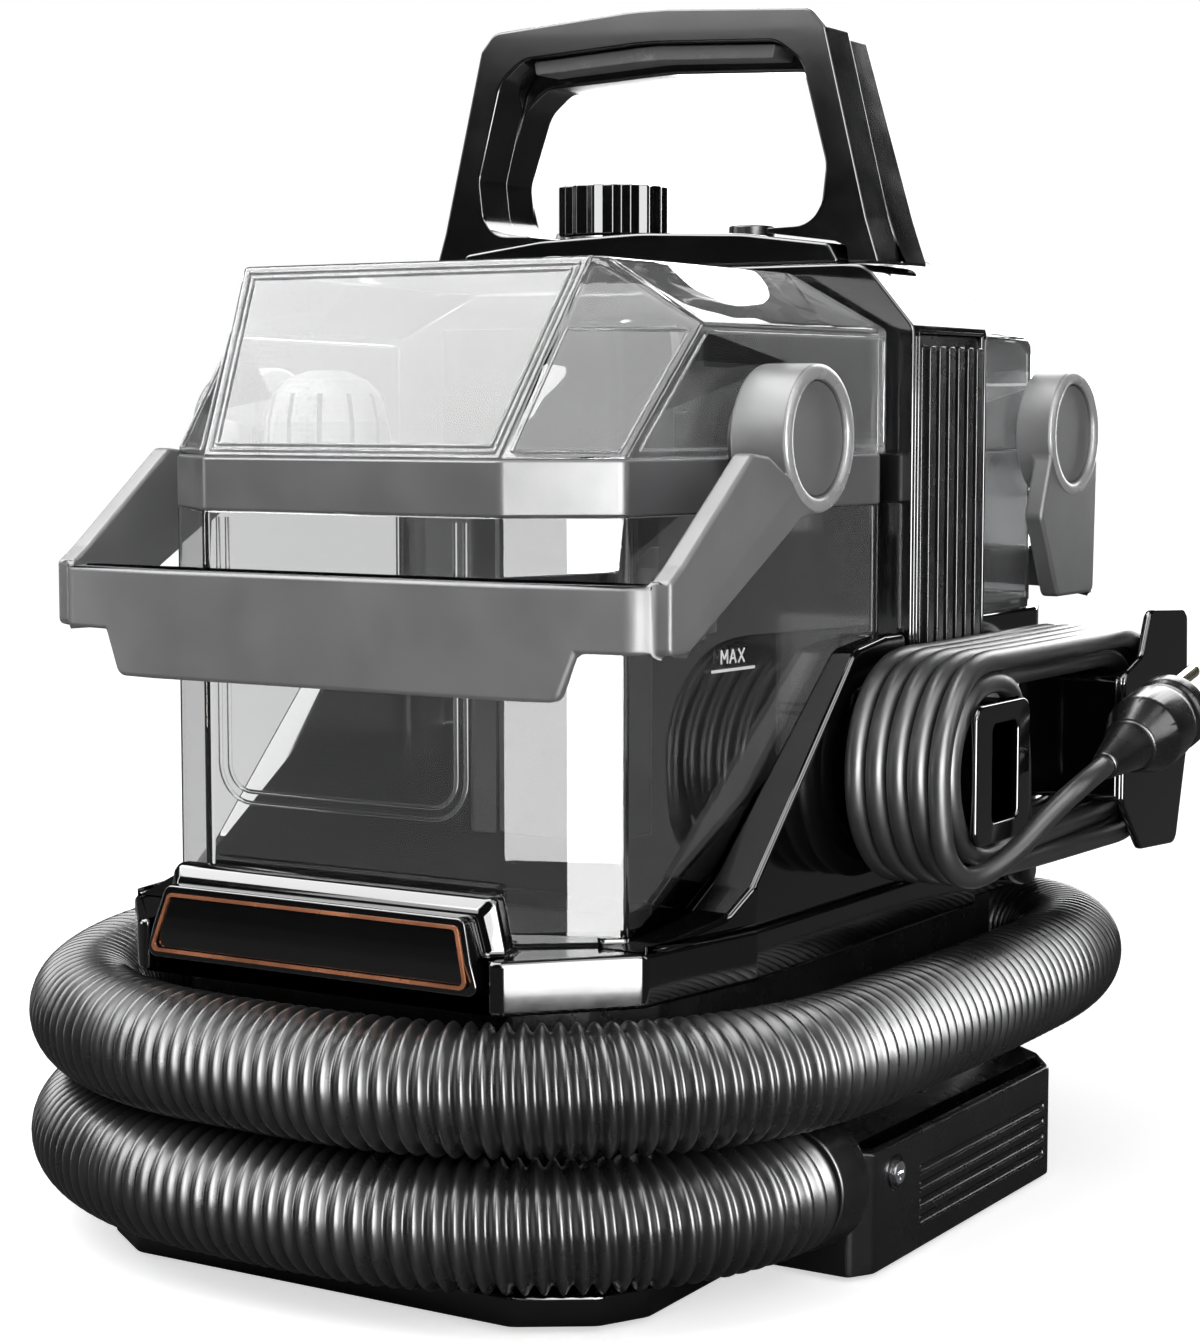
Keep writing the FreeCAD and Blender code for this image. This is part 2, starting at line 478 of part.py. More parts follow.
# ---------------------------------------------------------------- rear (clean) tank
rt_o = prism("clean_outer", [rounded(REAR, 6)], 247.0 - 190.5, at=(0, 0, 190.5))
rt_i = prism("clean_inner", [rounded(inset(REAR, TW), 4)], 100, at=(0, 0, 193.5))
rt_h = cyl("clean_valve_hole", 8.05, 10, (0, 110, 188))
keep("clean_tank_shell", cut("clean_tank_shell", rt_o, rt_i, rt_h))
top_o = prism("clean_lid_plan", [rounded(REAR, 6)], 70, at=(0, 0, 247.2))
top_s = prism("clean_lid_side", [rounded([(66, 246), (176, 246), (176, 262), (147, 273), (72, 306), (66, 306)], [0, 0, 3, 8, 3, 0])], 260, axis="X", at=(-130, 0, 0))
top_f = prism("clean_lid_front", [rounded([(-99, 240), (99, 240), (97.5, 286), (84, 307), (-84, 307), (-97.5, 286)], [0, 0, 6, 8, 8, 6])], 140, axis="Y", at=(0, 190, 0))
clid = common("clean_lid_a", common("clean_lid_b", top_o, top_s), top_f)
tin_o = prism("clean_lid_plan_in", [rounded(inset(REAR, TW), 4)], 70, at=(0, 0, 246.0))
tin_s = prism("clean_lid_side_in", [rounded([(60, 240), (180, 240), (180, 257.6), (146, 270.2), (71.4, 303), (60, 303)], 2)], 260, axis="X", at=(-130, 0, 0))
tin_f = prism("clean_lid_front_in", [rounded([(-96.5, 236), (96.5, 236), (94.8, 285), (82.5, 304), (-82.5, 304), (-94.8, 285)], 4)], 140, axis="Y", at=(0, 190, 0))
clidi = common("clean_lid_c", common("clean_lid_d", tin_o, tin_s), tin_f)
cap_y, cap_z = 112.0, 288.3
cap_rot = FreeCAD.Rotation(V(1, 0, 0), -23.75)
def slant(o, dz=0.0, y=cap_y, z=cap_z):
    n = cap_rot.multVec(V(0, 0, 1))
    o.Placement = FreeCAD.Placement(V(0, y, z) + n * dz, cap_rot)
    return o
caph = slant(cyl("fill_hole", 15.05, 14, (0, 0, 0)), -10)
keep("clean_tank_lid", cut("clean_tank_lid", clid, clidi, caph))
cap_a = slant(cyl("fill_cap_top", "cap_radius", 6.0, (0, 0, 0)), 0.3)
cap_b = slant(cyl("fill_cap_neck", 15.0, 9.0, (0, 0, 0)), -8.2)
cap_g = feat("fill_cap_grip", Part.makeBox(30, 5, 5, V(-15, -2.5, 0)))
slant(cap_g, 6.0)
keep("fill_cap", fuse("fill_cap", cap_a, cap_b, cap_g))
vseat = (revolve("valve_seat_prof", [(4.05, 0), (8.0, 0), (8.0, 3), (11, 3), (11, 5), (4.05, 5)], at=(0, 110, 190.7)))
keep("valve_plunger", revolve("valve_plunger_prof", [(0, 0), (4.0, 0), (4.0, 5.3), (7, 5.3), (7, 7.3), (2.0, 7.3), (2.0, 16), (0, 16)], at=(0, 110, 190.6)))
vcage = (revolve("valve_cage_prof", [(9.0, 0), (11, 0), (11, 24), (2.6, 24), (2.6, 22), (9.0, 22)], at=(0, 110, 195.6)))
keep("outlet_valve_body", fuse("outlet_valve_body", vseat, vcage))

rear_env = prism("rear_env", [rounded(REAR, 6)], 200, at=(0, 0, 150))
pr = pivot_pins("rear_pins_raw", RY, 85.0)
keep("rear_bail_pins", cut("rear_bail_pins", pr, rear_env))
RI = DI + 5.5
def rdrum(name, y, sx):
    d = cyl("%s_d%d" % (name, sx), "drum_radius", DO - RI, (RI if sx > 0 else -DO, y, PZ), axis="X")
    h = cyl("%s_h%d" % (name, sx), 6.05, 30, (85 if sx > 0 else -115.0, y, PZ), axis="X")
    r = cyl("%s_r%d" % (name, sx), 17.5, 10, (108.5 if sx > 0 else -118.5, y, PZ), axis="X")
    h2 = cyl("%s_b%d" % (name, sx), 15.4, 6, (RI - 6 if sx > 0 else -RI, y, PZ), axis="X")
    return cut("%s_drum%d" % (name, sx), d, h, r)
RARM = [(104.5, 245), (96, 224), (112, 195), (145, 195), (146.5, 225), (147, 246), (138, 236), (112, 236)]
rarms = []
for sx in (1, -1):
    a = prism("rear_arm%d" % sx, [rounded(RARM, [0, 4, 3, 3, 10, 0, 0, 0])], 7.0, axis="X", at=(105.0 if sx > 0 else -112.0, 0, 0))
    ck = cyl("rear_arm_clear%d" % sx, 17.5, 10, (108.5 if sx > 0 else -118.5, RY, PZ), axis="X")
    ch = cyl("rear_arm_bore%d" % sx, 6.05, 30, (95 if sx > 0 else -125, RY, PZ), axis="X")
    rarms.append(cut("rear_arm_c%d" % sx, a, ck, ch))
rb = [(112, 128), (112, 140), (96, 169), (60, 184), (-60, 184), (-96, 169), (-112, 140), (-112, 128),
      (-105, 128), (-105, 138), (-91, 162), (-57, 176.5), (57, 176.5), (91, 162), (105, 138), (105, 128)]
rbar = prism("rear_bar", [rounded(rb, [0, 8, 14, 14, 14, 14, 8, 0, 0, 6, 10, 10, 10, 10, 6, 0])], 15, at=(0, 0, 195))
keep("rear_bail", fuse("rear_bail", rbar, rarms[0], rarms[1], rdrum("rear_drum", RY, 1), rdrum("rear_drum", RY, -1)))
keep("rear_bail_caps", disc("rear_bail_caps", RY))

# ---------------------------------------------------------------- inside the housings
MX, MY = 0.0, 40.0
fh_o = prism("fan_case_o", [circle(MX, MY, 60), circle(MX, MY, 56.5)], 30, at=(0, 0, 18))
fh_b = prism("fan_case_b", [circle(MX, MY, 60), circle(MX, MY, 16)], 2.5, at=(0, 0, 15.5))
fh_t = prism("fan_case_t", [circle(MX, MY, 60), circle(MX, MY, 5.05)], 2.5, at=(0, 0, 48))
keep("fan_case", fuse("fan_case", fh_o, fh_b, fh_t))
im = [cyl("imp_plate", "impeller_radius", 2.0, (MX, MY, 42)), cyl("imp_hub", 9.0, 18.0, (MX, MY, 24)), cyl("imp_shaft", 5.0, 14.0, (MX, MY, 40))]
for i in range(9):
    bl = feat("imp_blade%d" % i, Part.makeBox(42, 2, 18.5, V(8.5, -1, 24)))
    bl.Placement = FreeCAD.Placement(V(MX, MY, 0), FreeCAD.Rotation(V(0, 0, 1), 40 * i))
    im.append(bl)
keep("impeller", fuse("impeller", *im))
keep("vacuum_motor", revolve("motor_prof", [(5.05, 0), (40, 0), (42, 3), (42, 30), (38, 34), (5.05, 34)], at=(MX, MY, 50.7)))
keep("water_pump", fuse("water_pump", block("pump_block", (-74, -70, 5.4), (-30, -40, 40)), cyl("pump_coil", 13.0, 40, (-52, -25, 22), axis="Y")))
keep("steam_heater", fuse("steam_heater", block("heater_block", (28, -90, 5.4), (72, -46, 36)), cyl("heater_stub", 5.0, 12, (50, -68, 36))))
keep("control_board", block("control_board", (-55, 14, 292), (55, 52, 294)))
dc_o = prism("duct_o", [rounded([(-19.5, 14.5), (19.5, 14.5), (19.5, 43.5), (-19.5, 43.5)], 3), rounded([(-17.1, 16.9), (17.1, 16.9), (17.1, 41.1), (-17.1, 41.1)], 2)], 160, at=(0, 0, 97))
dc_t = prism("duct_top", [rounded([(-19.5, 14.5), (19.5, 14.5), (19.5, 43.5), (-19.5, 43.5)], 3)], 32, at=(0, 0, 257))
dc_v = block("duct_void", (-17.1, 16.9, 250), (17.1, 41.1, 286.5))
dc_h = cyl("duct_mouth", 11.4, 20, (0, 30, 276), axis="Y")
keep("suction_duct", cut("suction_duct", fuse("duct_sum", dc_o, dc_t), dc_v, dc_h))
gk = prism("gasket_ring", [circle(0, 276, 13.9), circle(0, 276, 11.4)], 3.0, axis="Y", at=(0, 14.4, 0))
gp = prism("gasket_plate", [rounded([(-17.8, 262.2), (17.8, 262.2), (17.8, 289.8), (-17.8, 289.8)], 2), circle(0, 276, 11.4)], 3.0, axis="Y", at=(0, 11.4, 0))
keep("duct_gasket", fuse("duct_gasket", gk, gp))

# ---------------------------------------------------------------- hose port block
PB = [(97.3, -80), (100, -84), (129, -84), (134, -76), (134, 58), (126, 66), (97.3, 66)]
pb_o = prism("port_solid", [rounded(PB, [0, 2, 3, 6, 6, 3, 0])], 43.5, at=(0, 0, 1.5))
pb_i = prism("port_hollow", [rounded(inset(PB, 3), 2)], 36, at=(0, 0, 4.5))
slope = feat("port_slope", Part.makeBox(60, 200, 30, V(0, -110, 0)))
slope.Placement = FreeCAD.Placement(V(110, 0, 45.5), FreeCAD.Rotation(V(0, 1, 0), 16))
grooves = [block("port_groove%d" % i, (132.8, -44, 9 + 5.4 * i), (142, 54, 11.6 + 5.4 * i)) for i in range(4)]
pc = circle(115.5, 31, 15.0)
ph = cyl("port_hole", 12.05, 30, (115.5, -70, 31), axis="Y")
base_env = prism("base_env", [rounded(inset(BASE, -0.3), 7)], 12, at=(0, 0, 0))
keep("hose_port_block", cut("hose_port_block", pb_o, pb_i, slope, base_env, *grooves))
cuff = revolve("cuff_prof", [(9.5, 0), (12.0, 0), (12.0, 8.8), (21.0, 8.8), (21.0, 14), (19.6, 24), (9.5, 24)], axis="Z", at=(0, 0, 0))
cuff.Placement = FreeCAD.Placement(V(115.5, -75.5, 31), FreeCAD.Rotation(V(1, 0, 0), 90))
portcut = NODES["hose_port_block"]
portcut = cut("port_bored", portcut, ph)
keep("hose_port_cuff", cuff)


def screw(name, pos, rot, head=3.4, shank=1.8, length=9.0):
    a = feat(name + "_s", Part.makeCylinder(shank, length, V(0, 0, -length)))
    b = feat(name + "_h", Part.makeCylinder(head, 2.2).cut(Part.makeBox(4.4, 0.9, 1.2, V(-2.2, -0.45, 1.2))).cut(Part.makeBox(0.9, 4.4, 1.2, V(-0.45, -2.2, 1.2))))
    f = feat(name, a.Shape.fuse(b.Shape).removeSplitter())
    f.Placement = FreeCAD.Placement(V(*pos), rot)
    return f


PSY, PSZ = -62.0, 30.0
keep("port_screw", screw("port_screw_a", (133.4, PSY, PSZ), FreeCAD.Rotation(V(0, 1, 0), 90), length=7.0))
pad_s = cyl("port_screw_pad", 5.6, 12.0, (121.5, PSY, PSZ), axis="X")
pb2 = fuse("port_block_sum", portcut, pad_s)
keep("hose_port_block", cut("hose_port_block", pb2, cyl("port_screw_hole", 1.85, 30, (120, PSY, PSZ), axis="X"),
                           cyl("port_screw_seat", 5.0, 30, (133.4, PSY, PSZ), axis="X")))


# ---------------------------------------------------------------- tubes on a route
def tube(name, pts, r, report=True):
    p = [V(*q) for q in pts]
    n = len(p)
    edges, start, radii = [], p[0], []
    for i in range(1, n - 1):
        a, b = p[i] - p[i - 1], p[i + 1] - p[i]
        la, lb = a.Length, b.Length
        a.normalize()
        b.normalize()
        turn = a.getAngle(b)
        k = 0.45 * min(la, lb)
        rad = k / math.tan(turn / 2)
        radii.append(round(rad, 1))
        t0, t1 = p[i] - a * k, p[i] + b * k
        m = (b - a)
        m.normalize()
        mid = p[i] + m * (rad / math.cos(turn / 2) - rad)
        edges.append(Part.LineSegment(start, t0).toShape())
        edges.append(Part.Arc(t0, mid, t1).toShape())
        start = t1
    edges.append(Part.LineSegment(start, p[-1]).toShape())
    w = Part.Wire(edges)
    d = p[1] - p[0]
    prof = Part.Wire([Part.makeCircle(r, p[0], d)])
    s = w.makePipeShell([prof], True, False)
    vol = math.pi * r * r * w.Length
    print("%s: length %.0f mm, radii %s, volume ratio %.4f" % (name, w.Length, radii, s.Volume / vol))
    return feat(name, s)


HOSE = [(115.5, -99.5, 31), (115.5, -119.5, 31), (94, -160, 31), (46, -187, 31), (-8, -190, 31), (-60, -186, 31),
        (-108.5, -158, 31), (-136.5, -109.5, 31), (-139.5, -40, 31), (-138.5, 35, 32), (-135, 95, 35.5),
        (-107, 143.5, 43.5), (-60, 173, 51.5), (-4, 178, 58.5), (52, 173, 64.5), (101, 144, 68.5),
        (127, 93.5, 70.1), (129.5, 20, 70.2), (128.5, -52, 70.2), (125, -110, 70.2), (98, -158, 70.2),
        (50, -187, 70.2), (-5, -190, 70.2), (-60, -186, 70.2), (-108.5, -158, 70.2), (-136.5, -109.5, 70.6),
        (-140, -62, 72.5), (-139, -19, 83.5), (-131, 19.6, 104.4), (-131, 44, 141)]
keep("suction_hose", tube("suction_hose", HOSE, g("hose_radius")))

# ---------------------------------------------------------------- cord wrap and cord
CY, CZ = 45.0, 148.5


def stadium(half, r):
    return [Part.LineSegment(V(CY - half + r, CZ - r, 0), V(CY + half - r, CZ - r, 0)),
            Part.Arc(V(CY + half - r, CZ - r, 0), V(CY + half, CZ, 0), V(CY + half - r, CZ + r, 0)),
            Part.LineSegment(V(CY + half - r, CZ + r, 0), V(CY - half + r, CZ + r, 0)),
            Part.Arc(V(CY - half + r, CZ + r, 0), V(CY - half, CZ, 0), V(CY - half + r, CZ - r, 0))]


CWALL = g("coil_wall")
keep("power_cord_coil", prism("coil_body", [stadium(95, 38), stadium(95 - CWALL, 38 - CWALL)], "coil_out - coil_in",
                              axis="X", at=(g("coil_in"), 0, 0)))
back = prism("wrap_back", [rounded([(-24, 122), (114, 122), (114, 175), (-24, 175)], 8)], 1.9, axis="X", at=(106.0, 0, 0))
hk_f = prism("wrap_front_core", [rounded([(-33, 148.5), (-27, 130), (-12, 127), (4, 127), (4, 170), (-12, 170), (-27, 167)], [8, 8, 6, 2, 2, 6, 8])], 38.5, axis="X", at=(106.5, 0, 0))
cap_f = prism("wrap_front_cap", [rounded([(-34, 126.5), (7, 126.5), (7, 170.5), (-34, 170.5)], 5)], 2.5, axis="X", at=(144.2, 0, 0))
hk_r = prism("wrap_rear_core", [rounded([(123, 148.5), (117, 130), (102, 127), (86, 127), (86, 170), (102, 170), (117, 167)], [8, 8, 6, 2, 2, 6, 8])], 38.5, axis="X", at=(106.5, 0, 0))
cap_r = prism("wrap_rear_cap", [rounded([(88, 126), (106, 108), (140, 106), (150, 140), (148, 190), (112, 192), (104, 176), (88, 171)], 5)], 2.8, axis="X", at=(144.2, 0, 0))
hole_f = prism("wrap_front_hole", [rounded([(-22, 133), (-2, 133), (-2, 164), (-22, 164)], 3)], 40, axis="X", at=(110, 0, 0))
hole_r = prism("wrap_rear_hole", [rounded([(92, 133), (112, 133), (112, 164), (92, 164)], 3)], 33, axis="X", at=(110, 0, 0))
hookf = (cut("cord_wrap_front", fuse("wrapf_sum", prism("wrap_back_f", [rounded([(-28, 124), (44.8, 124), (44.8, 173), (-28, 173)], 6)], 1.9, axis="X", at=(106.0, 0, 0)), hk_f, cap_f), hole_f))
hookr = (cut("cord_wrap_rear", fuse("wrapr_sum", prism("wrap_back_r", [rounded([(45.2, 124), (118, 124), (118, 173), (45.2, 173)], 6)], 1.9, axis="X", at=(106.0, 0, 0)), hk_r, cap_r), hole_r))

keep("cord_hooks", fuse("cord_hooks", hookf, hookr))

gdir = V(0.5, -0.866, 0.03)
gdir.normalize()
groot = V(94, 114, 99)
gl = feat("gland_cone", Part.makeCone(7.5, 4.7, 32, groot, gdir))
env_r = prism("gland_env", [rounded(RH, 6)], 150, at=(0, 0, 50))
keep("cord_strain_relief", cut("cord_strain_relief", gl, env_r))
tip = groot + gdir * 32
LEAD = [tuple(tip), (117.0, 74.2, 100.6), (122.5, 62, 105.5), (125.4, 52.4, 113.6)]
lead = (tube("power_cord_lead", LEAD, g("cord_radius")))
TAIL = [(140.0, -44.0, 114.6), (142.5, -30.0, 115.4), (149.0, -12.0, 122.5), (154.5, 5.0, 133.5), (161.2, 18.4, 143.0), (161.5, 33.0, 146.15)]
tail = tube("power_cord_tail", TAIL, g("cord_radius"))
keep("power_cord_runs", feat("power_cord_runs", Part.makeCompound([lead.Shape, tail.Shape])))
pdir = V(*TAIL[-1]) - V(*TAIL[-2])
pdir.normalize()
prot = FreeCAD.Rotation(V(0, 0, 1), pdir)
pbase = V(*TAIL[-1])
sr = feat("plug_relief", Part.makeCone(4.4, 8.5, 22))
sr.Placement = FreeCAD.Placement(pbase, prot)
pl = revolve("plug_prof", [(0, 0), (8.6, 0), (11.0, 6), (13.5, 12), (13.5, 24), (12.0, 30), (13.3, 33), (13.3, 38), (0, 38)])
pl.Placement = FreeCAD.Placement(pbase + pdir * 22.0, prot)
keep("plug_body", fuse("plug_body", pl, sr))
bl = feat("plug_blades_raw", Part.makeCompound([Part.makeBox(1.5, 6.3, 17, V(-7.1, -3.15, 0)), Part.makeBox(1.5, 6.3, 17, V(5.6, -3.15, 0)),
                                               Part.makeCylinder(2.4, 20, V(0, -8.5, 0))]))
bl.Placement = FreeCAD.Placement(pbase + pdir * 60.0, prot)
keep("plug_blades", bl)

# ---------------------------------------------------------------- spray tool, docked on the left
TB = V(-131, 44, 141)
tilt_t = math.degrees(math.atan2(0.555, 0.832))
TROT = FreeCAD.Rotation(V(1, 0, 0), -tilt_t)


def dock(o):
    o.Placement = FreeCAD.Placement(TB, TROT).multiply(o.Placement)
    return o


keep("tool_cuff", dock(revolve("tool_cuff_prof", [(12.5, 0), (15.5, 0), (16.3, 3), (16.3, 20), (14, 23.7), (12.5, 23.7)])))
tsh = dock(revolve("tool_shell_prof", [(11.5, 24), (14.5, 24), (16.3, 30), (16.5, 62), (14.4, 78), (14.0, 108), (15.5, 132), (16.3, 150), (13.6, 150), (11.5, 132)]))
trc = dock(block("tool_trigger_slot", (-4.8, -30, 78), (4.8, -6, 130.5)))
trp = dock(fuse("trigger_ears", block("trigger_ear_a", (-8.5, -21, 118), (-5.2, -11, 130)), block("trigger_ear_b", (5.2, -21, 118), (8.5, -11, 130))))
tph = dock(cyl("trigger_pin_hole", 2.05, 24, (-12, -17, 124), axis="X"))
keep("tool_shell", cut("tool_shell", fuse("tool_sum", tsh, trp), trc, tph))
keep("tool_trigger_pin", dock(cyl("trigger_pin", 2.03, 17.6, (-8.8, -17, 124), axis="X")))
tg = prism("trigger_prof", [rounded([(-20, 128), (-14, 128), (-10.5, 120), (-10.8, 96), (-13, 84), (-19, 80), (-22, 84), (-19.5, 100), (-20.5, 116)], 2)], 8.8, axis="X", at=(-4.4, 0, 0))
keep("tool_trigger", cut("tool_trigger", dock(tg), dock(cyl("trigger_bore", 2.08, 24, (-12, -17, 124), axis="X"))))
nz_o = loft("nozzle_o", [[(-14, -14, 150.3), (14, -14, 150.3), (14, 14, 150.3), (-14, 14, 150.3)], [(-13, -24, 176), (13, -24, 176), (13, 24, 176), (-13, 24, 176)], [(-9, -31, 205), (9, -31, 205), (9, 31, 205), (-9, 31, 205)]])
nz_i = loft("nozzle_i", [[(-11.6, -11.6, 150), (11.6, -11.6, 150), (11.6, 11.6, 150), (-11.6, 11.6, 150)], [(-10.6, -21.6, 176), (10.6, -21.6, 176), (10.6, 21.6, 176), (-10.6, 21.6, 176)], [(-6.6, -28.6, 205.5), (6.6, -28.6, 205.5), (6.6, 28.6, 205.5), (-6.6, 28.6, 205.5)]])
dock(nz_o)
dock(nz_i)
keep("tool_nozzle", cut("tool_nozzle", nz_o, nz_i))
bb = dock(prism("brush_back", [rounded([(11.6, -27), (16.0, -27), (16.0, 27), (11.6, 27)], 1)], 16, at=(0, 0, 188)))
tufts = [dock(cyl("tuft_%d" % i, 2.2, 9.5, (13.8, -22.5 + 5.0 * i, 203.5))) for i in range(10)]
keep("tool_brush", fuse("tool_brush", bb, *tufts))

clip_o = prism("clip_ring", [circle(0, 0, 20.2), circle(0, 0, 17.0)], 20, at=(0, 0, 36))
clip_c = block("clip_mouth", (-40, -13, 30), (-4, 13, 60))
dock(clip_o)
dock(clip_c)
stem = block("clip_stem", (-114, 66.6, 166), (-98.3, 86, 186))
stem_c = dock(cyl("clip_stem_bore", 17.0, 60, (0, 0, 20)))
plate_h = block("clip_plate", (-100.8, 67, 128), (-98.3, 112, 186))
keep("tool_holder", cut("tool_holder", fuse("holder_sum", cut("clip_open", clip_o, clip_c), stem, plate_h), stem_c))

# ---------------------------------------------------------------- checks and files
doc.recompute()
bad = [o.Name for o in doc.Objects if "Invalid" in o.State or "Error" in o.State]
if bad:
    raise SystemExit("objects that failed: %s" % bad)
OUT_SHAPES = {}
for name, o in NODES.items():
    s = o.Shape
    if s.isNull() or not s.isValid() or s.Volume < 1.0 or not s.Solids:
        raise SystemExit("bad shape: %s null=%s valid=%s vol=%s" % (name, s.isNull(), s.isValid(), s.Volume))
    b = s.BoundBox
    print("%-22s solids %d  x %.1f..%.1f  y %.1f..%.1f  z %.1f..%.1f  vol %.1f cm3" % (name, len(s.Solids), b.XMin, b.XMax, b.YMin, b.YMax, b.ZMin, b.ZMax, s.Volume / 1000))
for name, o in NODES.items():
    o.Shape.exportStep("parts/%s.step" % name)
print(len(NODES), "nodes written")
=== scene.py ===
import bpy, bmesh, math, json
from mathutils import Vector, Matrix
from mathutils.bvhtree import BVHTree

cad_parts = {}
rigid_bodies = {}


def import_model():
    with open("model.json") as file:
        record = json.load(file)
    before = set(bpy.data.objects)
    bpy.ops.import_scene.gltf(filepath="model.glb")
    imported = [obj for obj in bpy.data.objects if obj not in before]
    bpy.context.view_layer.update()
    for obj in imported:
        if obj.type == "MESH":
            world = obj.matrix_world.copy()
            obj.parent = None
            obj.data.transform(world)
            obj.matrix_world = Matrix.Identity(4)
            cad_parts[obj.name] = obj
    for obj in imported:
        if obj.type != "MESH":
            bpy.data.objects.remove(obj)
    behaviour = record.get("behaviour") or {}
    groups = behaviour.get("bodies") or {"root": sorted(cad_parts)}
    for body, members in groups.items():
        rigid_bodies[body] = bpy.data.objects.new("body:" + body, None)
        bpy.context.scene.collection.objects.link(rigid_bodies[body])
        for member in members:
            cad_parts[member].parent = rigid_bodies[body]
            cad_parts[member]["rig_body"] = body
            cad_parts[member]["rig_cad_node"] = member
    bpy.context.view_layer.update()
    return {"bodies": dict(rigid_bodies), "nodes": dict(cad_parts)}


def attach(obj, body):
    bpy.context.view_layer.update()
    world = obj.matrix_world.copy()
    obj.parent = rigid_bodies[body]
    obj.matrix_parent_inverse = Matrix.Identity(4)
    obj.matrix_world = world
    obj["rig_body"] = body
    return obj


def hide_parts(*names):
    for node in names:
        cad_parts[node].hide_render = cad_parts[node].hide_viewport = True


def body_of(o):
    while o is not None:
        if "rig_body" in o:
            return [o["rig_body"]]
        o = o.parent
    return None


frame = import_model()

N = frame["nodes"]
scene = bpy.context.scene
scene.view_settings.view_transform = "Standard"
scene.view_settings.look = "None"

# ------------------------------------------------------------------ camera
cam_data = bpy.data.cameras.new("cam")
cam_data.lens, cam_data.sensor_width, cam_data.sensor_fit = 76.08, 36.0, "AUTO"
cam_data.clip_start, cam_data.clip_end = 0.01, 50
cam = bpy.data.objects.new("cam", cam_data)
scene.collection.objects.link(cam)
HEAD, PITCH = 0.554, 0.0922
fwd = Vector((-math.sin(HEAD) * math.cos(PITCH), math.cos(HEAD) * math.cos(PITCH), -math.sin(PITCH)))
right = Vector((math.cos(HEAD), math.sin(HEAD), 0))
up = right.cross(fwd)
cam.matrix_world = Matrix(((right.x, up.x, -fwd.x, 0.50258), (right.y, up.y, -fwd.y, -0.82926),
                           (right.z, up.z, -fwd.z, 0.26175), (0, 0, 0, 1)))
scene.camera = cam


# ------------------------------------------------------------------ material kit
def new_mat(name):
    m = bpy.data.materials.new(name)
    m.use_nodes = True
    nt = m.node_tree
    nt.nodes.clear()
    out = nt.nodes.new("ShaderNodeOutputMaterial")
    return m, nt, out


def add(nt, kind, **kw):
    n = nt.nodes.new(kind)
    for k, v in kw.items():
        setattr(n, k, v)
    return n


def noise(nt, coord, scale, detail=3.0, rough=0.5, stretch=None):
    t = add(nt, "ShaderNodeTexNoise")
    t.inputs["Scale"].default_value = scale
    t.inputs["Detail"].default_value = detail
    t.inputs["Roughness"].default_value = rough
    if stretch:
        mp = add(nt, "ShaderNodeMapping")
        mp.inputs["Scale"].default_value = stretch
        nt.links.new(coord, mp.inputs["Vector"])
        nt.links.new(mp.outputs["Vector"], t.inputs["Vector"])
    else:
        nt.links.new(coord, t.inputs["Vector"])
    return t.outputs["Fac"]


def ranged(nt, value, lo, hi, a=0.35, b=0.65):
    r = add(nt, "ShaderNodeMapRange")
    r.inputs["From Min"].default_value, r.inputs["From Max"].default_value = a, b
    r.inputs["To Min"].default_value, r.inputs["To Max"].default_value = lo, hi
    nt.links.new(value, r.inputs["Value"])
    return r.outputs["Result"]


def blend_col(nt, fac, c0, c1):
    m = add(nt, "ShaderNodeMix", data_type="RGBA")
    nt.links.new(fac, m.inputs["Factor"])
    for s, c in ((m.inputs[6], c0), (m.inputs[7], c1)):
        if isinstance(c, tuple):
            s.default_value = (*c, 1.0)
        else:
            nt.links.new(c, s)
    return m.outputs[2]


def solid(name, base, rough=(0.3, 0.4), grain=1400, bump=0.08, deep=0.00012, coat=0.0, metal=0.0,
          wear=0.5, wear_col=None, cloud=14, vary=0.25, fine_rough=None, spec=0.5, dust=None):
    """Moulded or metal surface: cloudy colour and roughness, fine grain in the bump, paler worn edges."""
    m, nt, out = new_mat(name)
    tc = add(nt, "ShaderNodeTexCoord").outputs["Object"]
    p = add(nt, "ShaderNodeBsdfPrincipled")
    cl = noise(nt, tc, cloud, 4)
    gr = noise(nt, tc, grain, 2)
    c1 = tuple(min(1.0, c * (1 + vary)) for c in base)
    c0 = tuple(c * (1 - vary) for c in base)
    col = blend_col(nt, ranged(nt, cl, 0, 1, 0.3, 0.7), c0, c1)
    geo = add(nt, "ShaderNodeNewGeometry")
    edge = ranged(nt, geo.outputs["Pointiness"], 0, wear, 0.52, 0.62)
    wc = wear_col or tuple(min(1.0, c * 1.6 + 0.02) for c in base)
    col = blend_col(nt, edge, col, wc)
    if dust:
        dn = noise(nt, tc, 45, 6, 0.7)
        col = blend_col(nt, ranged(nt, dn, 0, dust, 0.55, 0.8), col, (0.35, 0.34, 0.32))
    nt.links.new(col, p.inputs["Base Color"])
    rr = ranged(nt, noise(nt, tc, 55, 5, 0.6), rough[0], rough[1], 0.3, 0.7)
    nt.links.new(rr, p.inputs["Roughness"])
    p.inputs["Metallic"].default_value = metal
    p.inputs["Specular IOR Level"].default_value = spec
    if coat:
        p.inputs["Coat Weight"].default_value = coat
        p.inputs["Coat Roughness"].default_value = 0.04
    b = add(nt, "ShaderNodeBump")
    b.inputs["Strength"].default_value = bump
    b.inputs["Distance"].default_value = deep
    nt.links.new(gr, b.inputs["Height"])
    nt.links.new(b.outputs["Normal"], p.inputs["Normal"])
    nt.links.new(p.outputs["BSDF"], out.inputs["Surface"])
    return m


